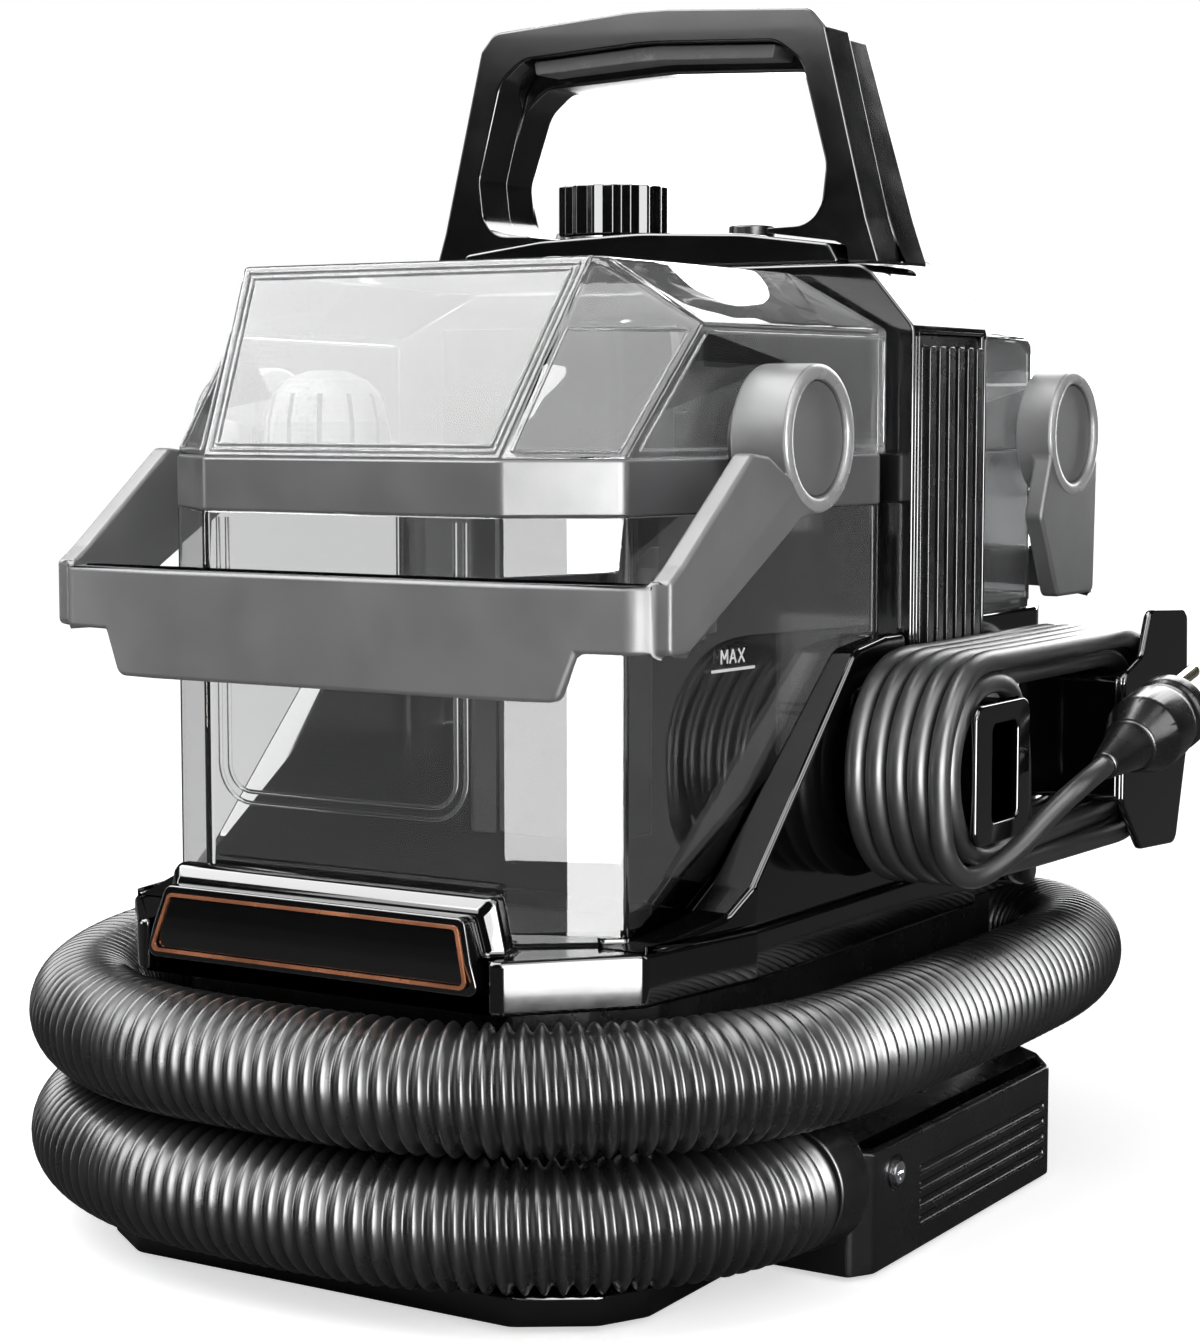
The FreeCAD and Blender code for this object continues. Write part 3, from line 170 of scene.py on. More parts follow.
def clear(name, tint, trans, rough=(0.015, 0.06), haze=(0.9, 0.92, 0.93), bump=0.04, ior=1.46):
    """See-through moulded plastic: faint flow marks, a little haze, and lamps reach what is behind it."""
    m, nt, out = new_mat(name)
    tc = add(nt, "ShaderNodeTexCoord").outputs["Object"]
    p = add(nt, "ShaderNodeBsdfPrincipled")
    cl = noise(nt, tc, 9, 3, 0.5, (1, 1, 0.35))
    nt.links.new(blend_col(nt, ranged(nt, cl, 0, 1), tint, tuple(min(1, c * 1.06) for c in tint)), p.inputs["Base Color"])
    nt.links.new(ranged(nt, noise(nt, tc, 40, 5, 0.6), rough[0], rough[1]), p.inputs["Roughness"])
    p.inputs["Transmission Weight"].default_value = trans
    p.inputs["IOR"].default_value = ior
    b = add(nt, "ShaderNodeBump")
    b.inputs["Strength"].default_value = bump
    b.inputs["Distance"].default_value = 0.0006
    nt.links.new(noise(nt, tc, 18, 2, 0.4, (1, 1, 0.5)), b.inputs["Height"])
    nt.links.new(b.outputs["Normal"], p.inputs["Normal"])
    lp = add(nt, "ShaderNodeLightPath")
    tr = add(nt, "ShaderNodeBsdfTransparent")
    tr.inputs["Color"].default_value = (*[0.55 + 0.4 * c for c in tint], 1)
    mx = add(nt, "ShaderNodeMixShader")
    nt.links.new(lp.outputs["Is Shadow Ray"], mx.inputs["Fac"])
    nt.links.new(p.outputs["BSDF"], mx.inputs[1])
    nt.links.new(tr.outputs["BSDF"], mx.inputs[2])
    nt.links.new(mx.outputs["Shader"], out.inputs["Surface"])
    return m


M = {
    "black_gloss": solid("black_gloss_abs", (0.0022, 0.0022, 0.0025), (0.05, 0.12), 260, 0.02, 0.0002, coat=0.3, wear=0.3, wear_col=(0.02, 0.02, 0.021)),
    "handle_black": solid("handle_black_abs", (0.003, 0.003, 0.0033), (0.10, 0.17), 300, 0.02, 0.0002, coat=0.2, wear=0.25, wear_col=(0.02, 0.02, 0.021), spec=0.4),
    "black_satin": solid("black_satin_abs", (0.007, 0.007, 0.0075), (0.22, 0.32), 1500, 0.12, 0.0001, wear=0.35, wear_col=(0.03, 0.03, 0.031)),
    "dark_inner": solid("dark_inner_abs", (0.009, 0.009, 0.0095), (0.34, 0.5), 1100, 0.15, 0.00012, wear=0.4, dust=0.12),
    "bail_grey": solid("bail_grey_soft", (0.12, 0.12, 0.122), (0.38, 0.5), 1900, 0.22, 0.00009, wear=0.5, wear_col=(0.2, 0.2, 0.203), vary=0.07),
    "disc_grey": solid("disc_grey_satin", (0.128, 0.128, 0.131), (0.33, 0.44), 1600, 0.16, 0.00008, wear=0.5, wear_col=(0.24, 0.24, 0.243), vary=0.07),
    "seal_grey": solid("seal_grey_tpe", (0.11, 0.11, 0.113), (0.3, 0.42), 1200, 0.16, 0.0001, wear=0.5, vary=0.1),
    "copper_line": solid("copper_line_paint", (0.62, 0.24, 0.12), (0.2, 0.32), 900, 0.08, 0.00005, metal=0.85, wear=0.3, vary=0.12),
    "rubber_black": solid("rubber_black_feet", (0.013, 0.013, 0.013), (0.6, 0.8), 700, 0.35, 0.0002, wear=0.5, dust=0.3),
    "hose_black": solid("hose_black_pe", (0.014, 0.014, 0.0145), (0.24, 0.34), 500, 0.1, 0.0002, wear=0.6, wear_col=(0.035, 0.035, 0.036)),
    "cord_black": solid("cord_black_pvc", (0.03, 0.03, 0.031), (0.3, 0.4), 1300, 0.2, 0.0001, wear=0.2, vary=0.2),
    "motor_steel": solid("motor_steel_pressed", (0.42, 0.42, 0.43), (0.25, 0.42), 700, 0.12, 0.0001, metal=1.0, wear=0.4, dust=0.15),
    "fan_alu": solid("fan_alu_cast", (0.62, 0.63, 0.64), (0.3, 0.45), 900, 0.18, 0.0001, metal=1.0, wear=0.4),
    "screw_steel": solid("screw_steel_zinc", (0.55, 0.56, 0.58), (0.18, 0.3), 1200, 0.12, 0.00006, metal=1.0, wear=0.5),
    "blade_brass": solid("blade_nickel", (0.66, 0.6, 0.46), (0.15, 0.3), 1400, 0.1, 0.00005, metal=1.0, wear=0.5),
    "board_green": solid("board_green_mask", (0.015, 0.11, 0.045), (0.25, 0.4), 700, 0.1, 0.00008, wear=0.3, dust=0.1),
    "bristle": solid("bristle_nylon", (0.05, 0.05, 0.052), (0.35, 0.5), 2600, 0.6, 0.0003, wear=0.3),
    "clear_tank": clear("clear_tank_pc", (0.985, 0.988, 0.99), 0.997, (0.0, 0.02), bump=0.015),
    "clear_lid": clear("clear_lid_pc", (0.95, 0.955, 0.96), 0.975, (0.0, 0.03), bump=0.006),
    "smoke_tank": clear("smoke_tank_pc", (0.55, 0.555, 0.56), 0.94, (0.02, 0.08), bump=0.02),
    "smoke_lid": clear("smoke_lid_pc", (0.88, 0.885, 0.89), 0.98, (0.01, 0.05), bump=0.02),
    # pale grey rim colour: partly the ring's own light grey, partly a painted highlight on the hub chamfer
    "rim_grey_highlight": solid("rim_grey_highlight_satin", (0.34, 0.34, 0.345), (0.22, 0.32), 1500, 0.1, 0.00006, wear=0.4, vary=0.06),
    "mark_white": solid("mark_white_ink", (0.8, 0.8, 0.8), (0.4, 0.55), 900, 0.1, 0.00004, wear=0.1, vary=0.05),
}


def mesh_mat(name, base):
    """Woven screen: rows of small dark holes in a grey net."""
    m, nt, out = new_mat(name)
    tc = add(nt, "ShaderNodeTexCoord").outputs["Object"]
    p = add(nt, "ShaderNodeBsdfPrincipled")
    vo = add(nt, "ShaderNodeTexVoronoi")
    vo.inputs["Scale"].default_value = 520
    vo.inputs["Randomness"].default_value = 0.35
    nt.links.new(tc, vo.inputs["Vector"])
    hole = ranged(nt, vo.outputs["Distance"], 1, 0, 0.28, 0.42)
    cl = noise(nt, tc, 60, 3)
    net = blend_col(nt, ranged(nt, cl, 0, 1), tuple(c * 0.8 for c in base), tuple(c * 1.2 for c in base))
    nt.links.new(blend_col(nt, hole, net, (0.02, 0.02, 0.021)), p.inputs["Base Color"])
    nt.links.new(ranged(nt, cl, 0.35, 0.5), p.inputs["Roughness"])
    b = add(nt, "ShaderNodeBump")
    b.inputs["Strength"].default_value = 0.5
    b.inputs["Distance"].default_value = 0.0003
    nt.links.new(vo.outputs["Distance"], b.inputs["Height"])
    nt.links.new(b.outputs["Normal"], p.inputs["Normal"])
    nt.links.new(p.outputs["BSDF"], out.inputs["Surface"])
    return m


M["filter_net"] = mesh_mat("filter_net_pp", (0.11, 0.11, 0.112))


def finish_obj(name, me, mat, body, smooth=40):
    ob = bpy.data.objects.new(name, me)
    scene.collection.objects.link(ob)
    if mat is not None:
        me.materials.clear()
        me.materials.append(mat)
    if smooth is not None:
        for p in me.polygons:
            p.use_smooth = True
        if smooth < 180:
            me.set_sharp_from_angle(angle=math.radians(smooth))
    if body:
        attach(ob, body)
    return ob


def apply_mods(ob):
    dg = bpy.context.evaluated_depsgraph_get()
    dg.update()
    ev = ob.evaluated_get(dg)
    me = bpy.data.meshes.new_from_object(ev, depsgraph=dg)
    ob.modifiers.clear()
    old = ob.data
    ob.data = me
    return ob


BODY = {}
for bname, bobj in frame["bodies"].items():
    for ch in bobj.children_recursive:
        if "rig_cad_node" in ch:
            b = ch
            BODY.setdefault(ch.name, bname)
for nname, nobj in N.items():
    b = body_of(nobj)
    BODY[nname] = b[0] if isinstance(b, (list, tuple)) else b


def one_face(bm):
    """The bar's front and its lip become one flat face."""
    kill = [f for f in bm.faces if all(v.co.y < -0.17185 for v in f.verts)]
    if not kill:
        return
    bmesh.ops.delete(bm, geom=kill, context="FACES")
    bmesh.ops.holes_fill(bm, edges=[e for e in bm.edges if e.is_boundary], sides=0)
    bmesh.ops.recalc_face_normals(bm, faces=bm.faces)


def handle_weight(a, b):
    """Full rounding on the loop, a fine edge on the thin feet over the deck."""
    low = any(q.z < 0.327 and abs(q.x) < 0.0775 for q in (a, b))
    return 0.2 if low else 1.0


def dress(node, mat, width=0.001, segs=2, limit=30, name=None, flat=0.4, extra=None, weigh=None):
    """Edge-rounded piece in the exact place of a CAD node, which it replaces."""
    src = N[node]
    bm = bmesh.new()
    bm.from_mesh(src.data)
    bmesh.ops.remove_doubles(bm, verts=bm.verts, dist=2e-6)
    if extra:
        extra(bm)
        bmesh.ops.remove_doubles(bm, verts=bm.verts, dist=2e-5)
    bmesh.ops.dissolve_limit(bm, angle_limit=math.radians(flat), verts=bm.verts, edges=bm.edges, delimit=set())
    me = bpy.data.meshes.new((name or node) + "_mesh")
    bm.to_mesh(me)
    bm.free()
    ob = bpy.data.objects.new(name or ("skin_" + node), me)
    scene.collection.objects.link(ob)
    me.materials.clear()
    me.materials.append(M[mat])
    if width:
        bv = ob.modifiers.new("edge", "BEVEL")
        bv.width, bv.segments, bv.limit_method = width, segs, "ANGLE"
        bv.angle_limit = math.radians(limit)
        if weigh:
            bv.limit_method = "WEIGHT"
            at = me.attributes.new("bevel_weight_edge", "FLOAT", "EDGE")
            nf = {}
            for p in me.polygons:
                for ek in p.edge_keys:
                    nf.setdefault(ek, []).append(p.normal.copy())
            for e in me.edges:
                ns = nf.get(tuple(sorted(e.vertices)), [])
                if len(ns) == 2 and ns[0].angle(ns[1], 0) > math.radians(limit):
                    at.data[e.index].value = weigh(me.vertices[e.vertices[0]].co, me.vertices[e.vertices[1]].co)
        bv.use_clamp_overlap = False
        bv.harden_normals = False
        bv.miter_outer = "MITER_SHARP"
        apply_mods(ob)
        tree = BVHTree.FromPolygons([v.co.copy() for v in src.data.vertices], [tuple(q.vertices) for q in src.data.polygons])
        far = width * 1.05 + 5e-5
        for v in ob.data.vertices:
            hit = tree.find_nearest(v.co)
            if hit[0] is not None and hit[3] > far:
                v.co = hit[0]
        bm = bmesh.new()
        bm.from_mesh(ob.data)
        bmesh.ops.dissolve_degenerate(bm, edges=bm.edges, dist=1e-6)
        bm.to_mesh(ob.data)
        bm.free()
    me = ob.data
    for p in me.polygons:
        p.use_smooth = True
    me.set_sharp_from_angle(angle=math.radians(38))
    wn = ob.modifiers.new("wn", "WEIGHTED_NORMAL")
    wn.keep_sharp = True
    apply_mods(ob)
    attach(ob, BODY[node])
    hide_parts(node)
    return ob


def paint(node, mat):
    ob = N[node]
    if not ob.material_slots:
        ob.data.materials.append(M[mat])
    for s in ob.material_slots:
        s.material = M[mat]


# ------------------------------------------------------------------ the suction hose
HOSE = [(115.5, -99.5, 31), (115.5, -119.5, 31), (94, -160, 31), (46, -187, 31), (-8, -190, 31), (-60, -186, 31),
        (-108.5, -158, 31), (-136.5, -109.5, 31), (-139.5, -40, 31), (-138.5, 35, 32), (-135, 95, 35.5),
        (-107, 143.5, 43.5), (-60, 173, 51.5), (-4, 178, 58.5), (52, 173, 64.5), (101, 144, 68.5),
        (127, 93.5, 70.1), (129.5, 20, 70.2), (128.5, -52, 70.2), (125, -110, 70.2), (98, -158, 70.2),
        (50, -187, 70.2), (-5, -190, 70.2), (-60, -186, 70.2), (-108.5, -158, 70.2), (-136.5, -109.5, 70.6),
        (-140, -62, 72.5), (-139, -19, 83.5), (-131, 19.6, 104.4), (-131, 44, 141)]


def nurbs(name, pts, res=14):
    cu = bpy.data.curves.new(name, "CURVE")
    cu.dimensions = "3D"
    sp = cu.splines.new("NURBS")
    sp.points.add(len(pts) - 1)
    for q, p in zip(sp.points, pts):
        q.co = (p[0] / 1000, p[1] / 1000, p[2] / 1000, 1)
    sp.order_u = 3
    sp.use_endpoint_u = True
    cu.resolution_u = res
    cu.twist_mode = "MINIMUM"
    ob = bpy.data.objects.new(name, cu)
    scene.collection.objects.link(ob)
    return ob


def line_of(curve_ob):
    dg = bpy.context.evaluated_depsgraph_get()
    me = bpy.data.meshes.new_from_object(curve_ob.evaluated_get(dg), depsgraph=dg)
    pts = [v.co.copy() for v in me.vertices]
    bpy.data.meshes.remove(me)
    return pts


def arclen(pts):
    s = [0.0]
    for a, b in zip(pts, pts[1:]):
        s.append(s[-1] + (b - a).length)
    return s


def frames_along(pts):
    t = []
    for i in range(len(pts)):
        a, b = pts[max(0, i - 1)], pts[min(len(pts) - 1, i + 1)]
        t.append((b - a).normalized())
    n = t[0].orthogonal().normalized()
    out = []
    for i in range(len(pts)):
        if i:
            n = t[i - 1].rotation_difference(t[i]) @ n
            n = (n - t[i] * n.dot(t[i])).normalized()
        out.append((t[i], n.copy(), t[i].cross(n)))
    return out


def sample(pts, fr, s, at):
    import bisect
    at = min(max(at, 0.0), s[-1])
    i = min(max(bisect.bisect_right(s, at) - 1, 0), len(pts) - 2)
    k = (at - s[i]) / max(1e-9, s[i + 1] - s[i])
    p = pts[i].lerp(pts[i + 1], k)
    t = fr[i][0].lerp(fr[i + 1][0], k).normalized()
    n = fr[i][1].lerp(fr[i + 1][1], k)
    n = (n - t * n.dot(t)).normalized()
    return p, n, t.cross(n)


def ribbed_hose(name, pts, r_out, r_in, pitch, around=48, per=8):
    s = arclen(pts)
    fr = frames_along(pts)
    L = s[-1]
    turns = int(L / pitch)
    verts, faces = [], []
    rings = turns * per + per
    prof = []
    for k in range(per):
        w = 0.5 - 0.5 * math.cos(2 * math.pi * k / per)
        prof.append(r_in + (r_out - r_in) * (w ** 0.8))
    for i in range(rings):
        for j in range(around):
            at = ((i - per) / per + j / around + 0.5) * pitch
            p, n, b = sample(pts, fr, s, at)
            a = 2 * math.pi * j / around
            r = prof[i % per] if 0 < at < L else r_in
            verts.append(p + (n * math.cos(a) + b * math.sin(a)) * r)
    for i in range(rings - 1):
        for j in range(around):
            j2 = j + 1
            if j2 < around:
                faces.append((i * around + j, i * around + j2, (i + 1) * around + j2, (i + 1) * around + j))
            elif i + per + 1 < rings:
                a0, a1 = (i + per) * around, (i + per + 1) * around
                faces.append((i * around + j, a0, a1, (i + 1) * around + j))
    me = bpy.data.meshes.new(name + "_mesh")
    me.from_pydata([tuple(v) for v in verts], [], faces)
    bm = bmesh.new()
    bm.from_mesh(me)
    bmesh.ops.remove_doubles(bm, verts=bm.verts, dist=3e-6)
    bmesh.ops.dissolve_degenerate(bm, edges=bm.edges, dist=1e-6)
    hole = [e for e in bm.edges if e.is_boundary]
    bmesh.ops.holes_fill(bm, edges=hole, sides=0)
    loose = [v for v in bm.verts if not v.link_faces]
    bmesh.ops.delete(bm, geom=loose, context="VERTS")
    bmesh.ops.recalc_face_normals(bm, faces=bm.faces)
    bm.to_mesh(me)
    bm.free()
    return me, L


hose_line = nurbs("hose_line", HOSE, 24)
hp = line_of(hose_line)
bpy.data.objects.remove(hose_line)
hme, HOSE_L = ribbed_hose("suction_hose_ribbed", hp, 0.0193, 0.0163, 0.0052)
hose = finish_obj("suction_hose_ribbed", hme, M["hose_black"], "chassis", smooth=180)
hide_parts("suction_hose")

# ------------------------------------------------------------------ the mains lead
TIPX, TIPY, TIPZ = 94 + 0.5 / 1.00044 * 32, 114 - 0.866 / 1.00044 * 32, 99 + 0.03 / 1.00044 * 32
LEAD = [(TIPX, TIPY, TIPZ), (117, 74.2, 100.6), (122.5, 62, 105.5), (126, 50, 116), (129.5, 40, 132), (133.5, 30, 149),
        (137, 18, 165), (139.7, 2, 175.75)]
CZ, YF, YR = 148.5, -12.0, 102.0


def wig(i):
    return 0.28 * math.sin(i * 2.399) + 0.17 * math.sin(i * 0.731 + 1.0)


coil, idx = [], 0
turns = [(139.9, 132.8, 27.25), (132.8, 125.7, 27.25), (125.7, 118.6, 27.25), (118.6, 111.5, 27.25), (111.5, 111.5, 27.3),
         (111.5, 118.6, 34.45), (118.6, 125.7, 34.45), (125.7, 132.8, 34.45), (132.8, 139.9, 34.45), (139.9, 139.9, 34.45)]
for k, (x0, x1, R) in enumerate(turns):
    Rn = turns[k + 1][2] if k + 1 < len(turns) else R
    last = k == len(turns) - 1
    for q, a in enumerate((105, 135, 165, 195, 225, 255)):
        if last and q >= 4:
            break
        ra = R / math.cos(math.radians(15))
        coil.append((x0 + wig(idx) * 0.5, YF + ra * math.cos(math.radians(a)), CZ + ra * math.sin(math.radians(a)) + 0.3 * wig(idx)))
        idx += 1
    if last:
        break
    for f, y in ((0.2, 5), (0.5, 45), (0.8, 85)):
        rr = R + (Rn - R) * f
        coil.append((x0 + (x1 - x0) * f, y, CZ - rr + 0.4 * wig(idx)))
        idx += 1
    for a in (285, 315, 345, 15, 45, 75):
        ra = Rn / math.cos(math.radians(15))
        coil.append((x1 + wig(idx) * 0.5, YR + ra * math.cos(math.radians(a)), CZ + ra * math.sin(math.radians(a)) + 0.3 * wig(idx)))
        idx += 1
    for y in (85, 45, 5):
        coil.append((x1 + wig(idx) * 0.4, y, CZ + Rn - 0.3 + 0.4 * wig(idx)))
        idx += 1
TAIL = [(140.6, -43.0, 122.5), (142.8, -30.0, 114.9), (149, -12, 121.5), (154.5, 5, 133.5), (161.2, 18.4, 143.0), (161.5, 33, 146.15)]
lead = nurbs("mains_lead", LEAD + coil + TAIL, 8)
lead.data.bevel_depth = 0.0035
lead.data.bevel_resolution = 5
lead.data.use_fill_caps = True
lead.data.materials.append(M["cord_black"])
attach(lead, "chassis")
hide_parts("power_cord_coil", "power_cord_runs")

# ------------------------------------------------------------------ dressed shells
DRESS = [
    ("base_tray", "black_gloss", 0.0012, 3), ("hose_recess_wall", "black_satin", 0.0008, 2), ("rubber_feet", "rubber_black", 0.0006, 2),
    ("upper_cradle", "black_gloss", 0.0017, 4), ("nose_plate", "black_gloss", 0.0006, 2),
    ("centre_column", "black_gloss", 0.0010, 3), ("ribbed_side_panels", "black_satin", 0.0004, 2),
    ("rear_housing", "black_gloss", 0.0012, 3), ("exhaust_grille", "black_satin", 0.0005, 2),
    ("handle_front_shell", "handle_black", 0.0010, 3), ("handle_rear_shell", "handle_black", 0.0012, 3), ("handle_grip_pad", "rubber_black", 0.0005, 2),
    ("control_deck", "black_gloss", 0.0010, 3), ("mode_knob", "black_gloss", 0.0005, 2), ("power_button", "black_satin", 0.0007, 3),
    ("front_bail", "bail_grey", 0.0014, 4), ("front_bail_caps", "disc_grey", 0.0005, 3),
    ("rear_bail", "bail_grey", 0.0014, 4), ("rear_bail_caps", "disc_grey", 0.0005, 3),
    ("tank_seal_band", "seal_grey", 0.0008, 3), ("separator_frame", "dark_inner", 0.0006, 2), ("inlet_standpipe", "dark_inner", 0.0006, 2),
    ("fill_cap", "black_satin", 0.0008, 3), ("hose_port_block", "black_satin", 0.0010, 3), ("hose_port_cuff", "black_satin", 0.0008, 3),
    ("cord_hooks", "black_gloss", 0.0009, 3), ("plug_body", "black_satin", 0.0009, 3), ("tool_cuff", "black_satin", 0.0006, 2),
    ("tool_shell", "black_gloss", 0.0008, 3), ("tool_trigger", "bail_grey", 0.0007, 3), ("tool_nozzle", "smoke_tank", 0.0004, 2),
    ("tool_holder", "black_satin", 0.0007, 2), ("clean_tank_shell", "smoke_tank", 0.0007, 3), ("clean_tank_lid", "smoke_lid", 0.0012, 3),
    ("dirty_tank_shell", "clear_tank", 0.0008, 3), ("dirty_tank_lid", "clear_lid", 0.0012, 4),
]
FLAT = {"handle_front_shell": 1.6, "handle_rear_shell": 1.6, "front_bail": 1.5, "rear_bail": 1.5, "ribbed_side_panels": 1.0, "centre_column": 1.0}
for node, mat, w, sg in DRESS:
    dress(node, mat, w, sg, flat=FLAT.get(node, 0.4), extra=one_face if node == "front_bail" else None,
                        weigh=handle_weight if node.startswith("handle_") and node.endswith("_shell") else None)

PAINT = {
    "nose_plate_trim": "copper_line", "water_receiver": "dark_inner", "fan_case": "dark_inner", "vacuum_motor": "motor_steel",
    "water_pump": "dark_inner", "steam_heater": "fan_alu", "control_board": "board_green", "suction_duct": "dark_inner",
    "duct_gasket": "rubber_black", "port_screw": "screw_steel", "cord_strain_relief": "rubber_black", "plug_blades": "blade_brass",
    "tool_trigger_pin": "screw_steel", "tool_brush": "bristle", "front_bail_pins": "dark_inner", "rear_bail_pins": "dark_inner",
    "debris_filter": "filter_net", "float_ball": "seal_grey", "outlet_valve_body": "dark_inner", "valve_plunger": "seal_grey",
    "impeller": "fan_alu",
}
for node, mat in PAINT.items():
    paint(node, mat)


# ------------------------------------------------------------------ added details
def tube_mesh(paths, r, sides=8):
    """Round beads along open 3-D runs (metres), ends closed."""
    verts, faces = [], []
    for pts in paths:
        pts = [Vector(p) for p in pts]
        fr = frames_along(pts)
        base = len(verts)
        for i, p in enumerate(pts):
            for j in range(sides):
                a = 2 * math.pi * j / sides
                verts.append(p + (fr[i][1] * math.cos(a) + fr[i][2] * math.sin(a)) * r)
        for i in range(len(pts) - 1):
            for j in range(sides):
                a, b = base + i * sides + j, base + i * sides + (j + 1) % sides
                faces.append((a, b, b + sides, a + sides))
        faces.append(tuple(base + j for j in reversed(range(sides))))
        faces.append(tuple(base + (len(pts) - 1) * sides + j for j in range(sides)))
    me = bpy.data.meshes.new("tube")
    me.from_pydata([tuple(v) for v in verts], [], faces)
    return me


def mm(*p):
    return tuple(c / 1000 for c in p)


def arc_pts(cx, cz, r, a0, a1, n, y):
    return [mm(cx + r * math.cos(math.radians(a0 + (a1 - a0) * k / n)), y, cz + r * math.sin(math.radians(a0 + (a1 - a0) * k / n))) for k in range(n + 1)]


# moulded U-shaped bead inside the tank's front wall
u = [mm(-50, -155.8, 229)] + [mm(-50, -155.8, 155)] + arc_pts(-38, 154, 12, 180, 270, 8, -155.8) + arc_pts(29, 154, 12, 270, 360, 8, -155.8) + [mm(41, -155.8, 229)]
u2 = [mm(-46.5, -155.8, 229)] + [mm(-46.5, -155.8, 155)] + arc_pts(-38, 154, 8.5, 180, 270, 8, -155.8) + arc_pts(29, 154, 8.5, 270, 360, 8, -155.8) + [mm(37.5, -155.8, 229)]
finish_obj("tank_front_beads", tube_mesh([u, u2], 0.0007), M["clear_tank"], "dirty_tank", 60)

# raised double beads that frame the facets of the tank lid
LB = {"a": (54, -159, 247), "b": (83, -137, 247), "c": (96.5, 4, 247), "d": (60.5, -136, 287), "e": (87.5, -100, 287),
      "f": (96.5, 4, 287), "g": (64, -125, 306), "h": (65.5, -118, 306), "i": (62, 2, 306)}


def facet_frame(corners, inset_mm, lift=0.25):
    """Closed run parallel to a facet's edges, inset on the facet's own plane."""
    c = [Vector(q) for q in corners]
    nrm = (c[1] - c[0]).cross(c[2] - c[0]).normalized()
    mid = sum(c, Vector()) / len(c)
    if nrm.dot(mid - Vector((0, -60, 260))) < 0:
        nrm = -nrm
    n = len(c)
    out = []
    for k in range(n):
        p, a, b = c[k], c[k - 1], c[(k + 1) % n]
        u1, u2_ = (a - p).normalized(), (b - p).normalized()
        bis = (u1 + u2_).normalized()
        sn = math.sqrt(max(1e-4, (1 - u1.dot(u2_)) / 2))
        out.append(p + bis * (inset_mm / sn) + nrm * lift)
    out.append(out[0])
    pts = []
    for a, b in zip(out, out[1:]):
        pts += [a.lerp(b, t) for t in (0.0, 0.04, 0.96)]
    pts.append(out[-1])
    return [mm(*p) for p in pts]


def mx_(q):
    return (-q[0], q[1], q[2])


F_ = []
fr_front = [mx_(LB["a"]), LB["a"], LB["g"], mx_(LB["g"])]
F_.append(facet_frame(fr_front, 2.6))
F_.append(facet_frame(fr_front, 4.6))
for m_ in (lambda q: q, mx_):
    F_.append(facet_frame([m_(LB["a"]), m_(LB["b"]), m_(LB["e"]), m_(LB["d"])], 2.6))
    F_.append(facet_frame([m_(LB["b"]), m_(LB["c"]), m_(LB["f"]), m_(LB["e"])], 2.8))
finish_obj("lid_facet_beads", tube_mesh(F_, 0.00055, 6), M["clear_lid"], "dirty_lid", 60)

# pale grey rims on the bail hubs: partly their own light grey, partly a painted highlight on the hub chamfer
def rim_ring(name, y, body):
    vs, fs = [], []
    prof = [(0.0177, 0.1112), (0.0179, 0.1119), (0.0187, 0.11255), (0.0203, 0.1127), (0.0217, 0.1122), (0.0222, 0.1114), (0.0222, 0.1106), (0.0177, 0.1106)]
    seg, m = 72, len(prof)
    for sx in (1, -1):
        base = len(vs)
        for k in range(seg):
            a = 2 * math.pi * k / seg
            for r, x in prof:
                vs.append((sx * x, y + r * math.cos(a), 0.2528 + r * math.sin(a)))
        for k in range(seg):
            for q in range(m):
                a, b = base + k * m + q, base + k * m + (q + 1) % m
                c, d = base + ((k + 1) % seg) * m + (q + 1) % m, base + ((k + 1) % seg) * m + q
                fs.append((a, b, c, d) if sx > 0 else (d, c, b, a))
    me = bpy.data.meshes.new(name)
    me.from_pydata(vs, [], fs)
    bm = bmesh.new()
    bm.from_mesh(me)
    bmesh.ops.recalc_face_normals(bm, faces=bm.faces)
    bm.to_mesh(me)
    bm.free()
    return finish_obj(name, me, M["rim_grey_highlight"], body, 50)


rim_ring("front_hub_rims", -0.0725, "front_bail")
rim_ring("rear_hub_rims", 0.1253, "rear_bail")

# trim beads down the column's side edges
tr = []
for sx in (1, -1):
    for y in (9.6, 11.9):
        tr.append([mm(sx * 103.9, y, 120), mm(sx * 103.9, y, 200), mm(sx * 103.9, y, 285)])
    tr.append([mm(sx * 103.9, 63.9, 120), mm(sx * 103.9, 63.9, 200), mm(sx * 103.9, 63.9, 285)])
finish_obj("column_trim_beads", tube_mesh(tr, 0.0006, 10), M["black_gloss"], "chassis", 60)

# fill mark on the right side of the dirty tank: a line with a generic MAX above it
mk = bmesh.new()
x0, y0, z0 = 0.0, -0.083, 0.1835


def side_x(y_m):
    t = (y_m * 1000 + 137) / 141.0
    return (83 + 13.5 * t) / 1000 + 0.00006


def quad(bmh, ya, yb, za, zb):
    q = [bmh.verts.new((side_x(y) + dx, y, z)) for dx in (0, 0.00012) for y, z in ((ya, za), (yb, za), (yb, zb), (ya, zb))]
    for f in ((3, 2, 1, 0), (4, 5, 6, 7), (0, 1, 5, 4), (1, 2, 6, 5), (2, 3, 7, 6), (3, 0, 4, 7)):
        bmh.faces.new([q[k] for k in f])


quad(mk, -0.0945, -0.0715, 0.1828, 0.1837)


def stroke(bmh, p, q, wd=0.0006):
    a, b = Vector((p[0], p[1])), Vector((q[0], q[1]))
    d = (b - a).normalized()
    o = Vector((-d.y, d.x)) * wd / 2
    cs = [a - o, b - o, b + o, a + o]
    vs = [bmh.verts.new((side_x(c.x) + dx, c.x, c.y)) for dx in (0, 0.00012) for c in cs]
    for f in ((3, 2, 1, 0), (4, 5, 6, 7), (0, 1, 5, 4), (1, 2, 6, 5), (2, 3, 7, 6), (3, 0, 4, 7)):
        bmh.faces.new([vs[k] for k in f])


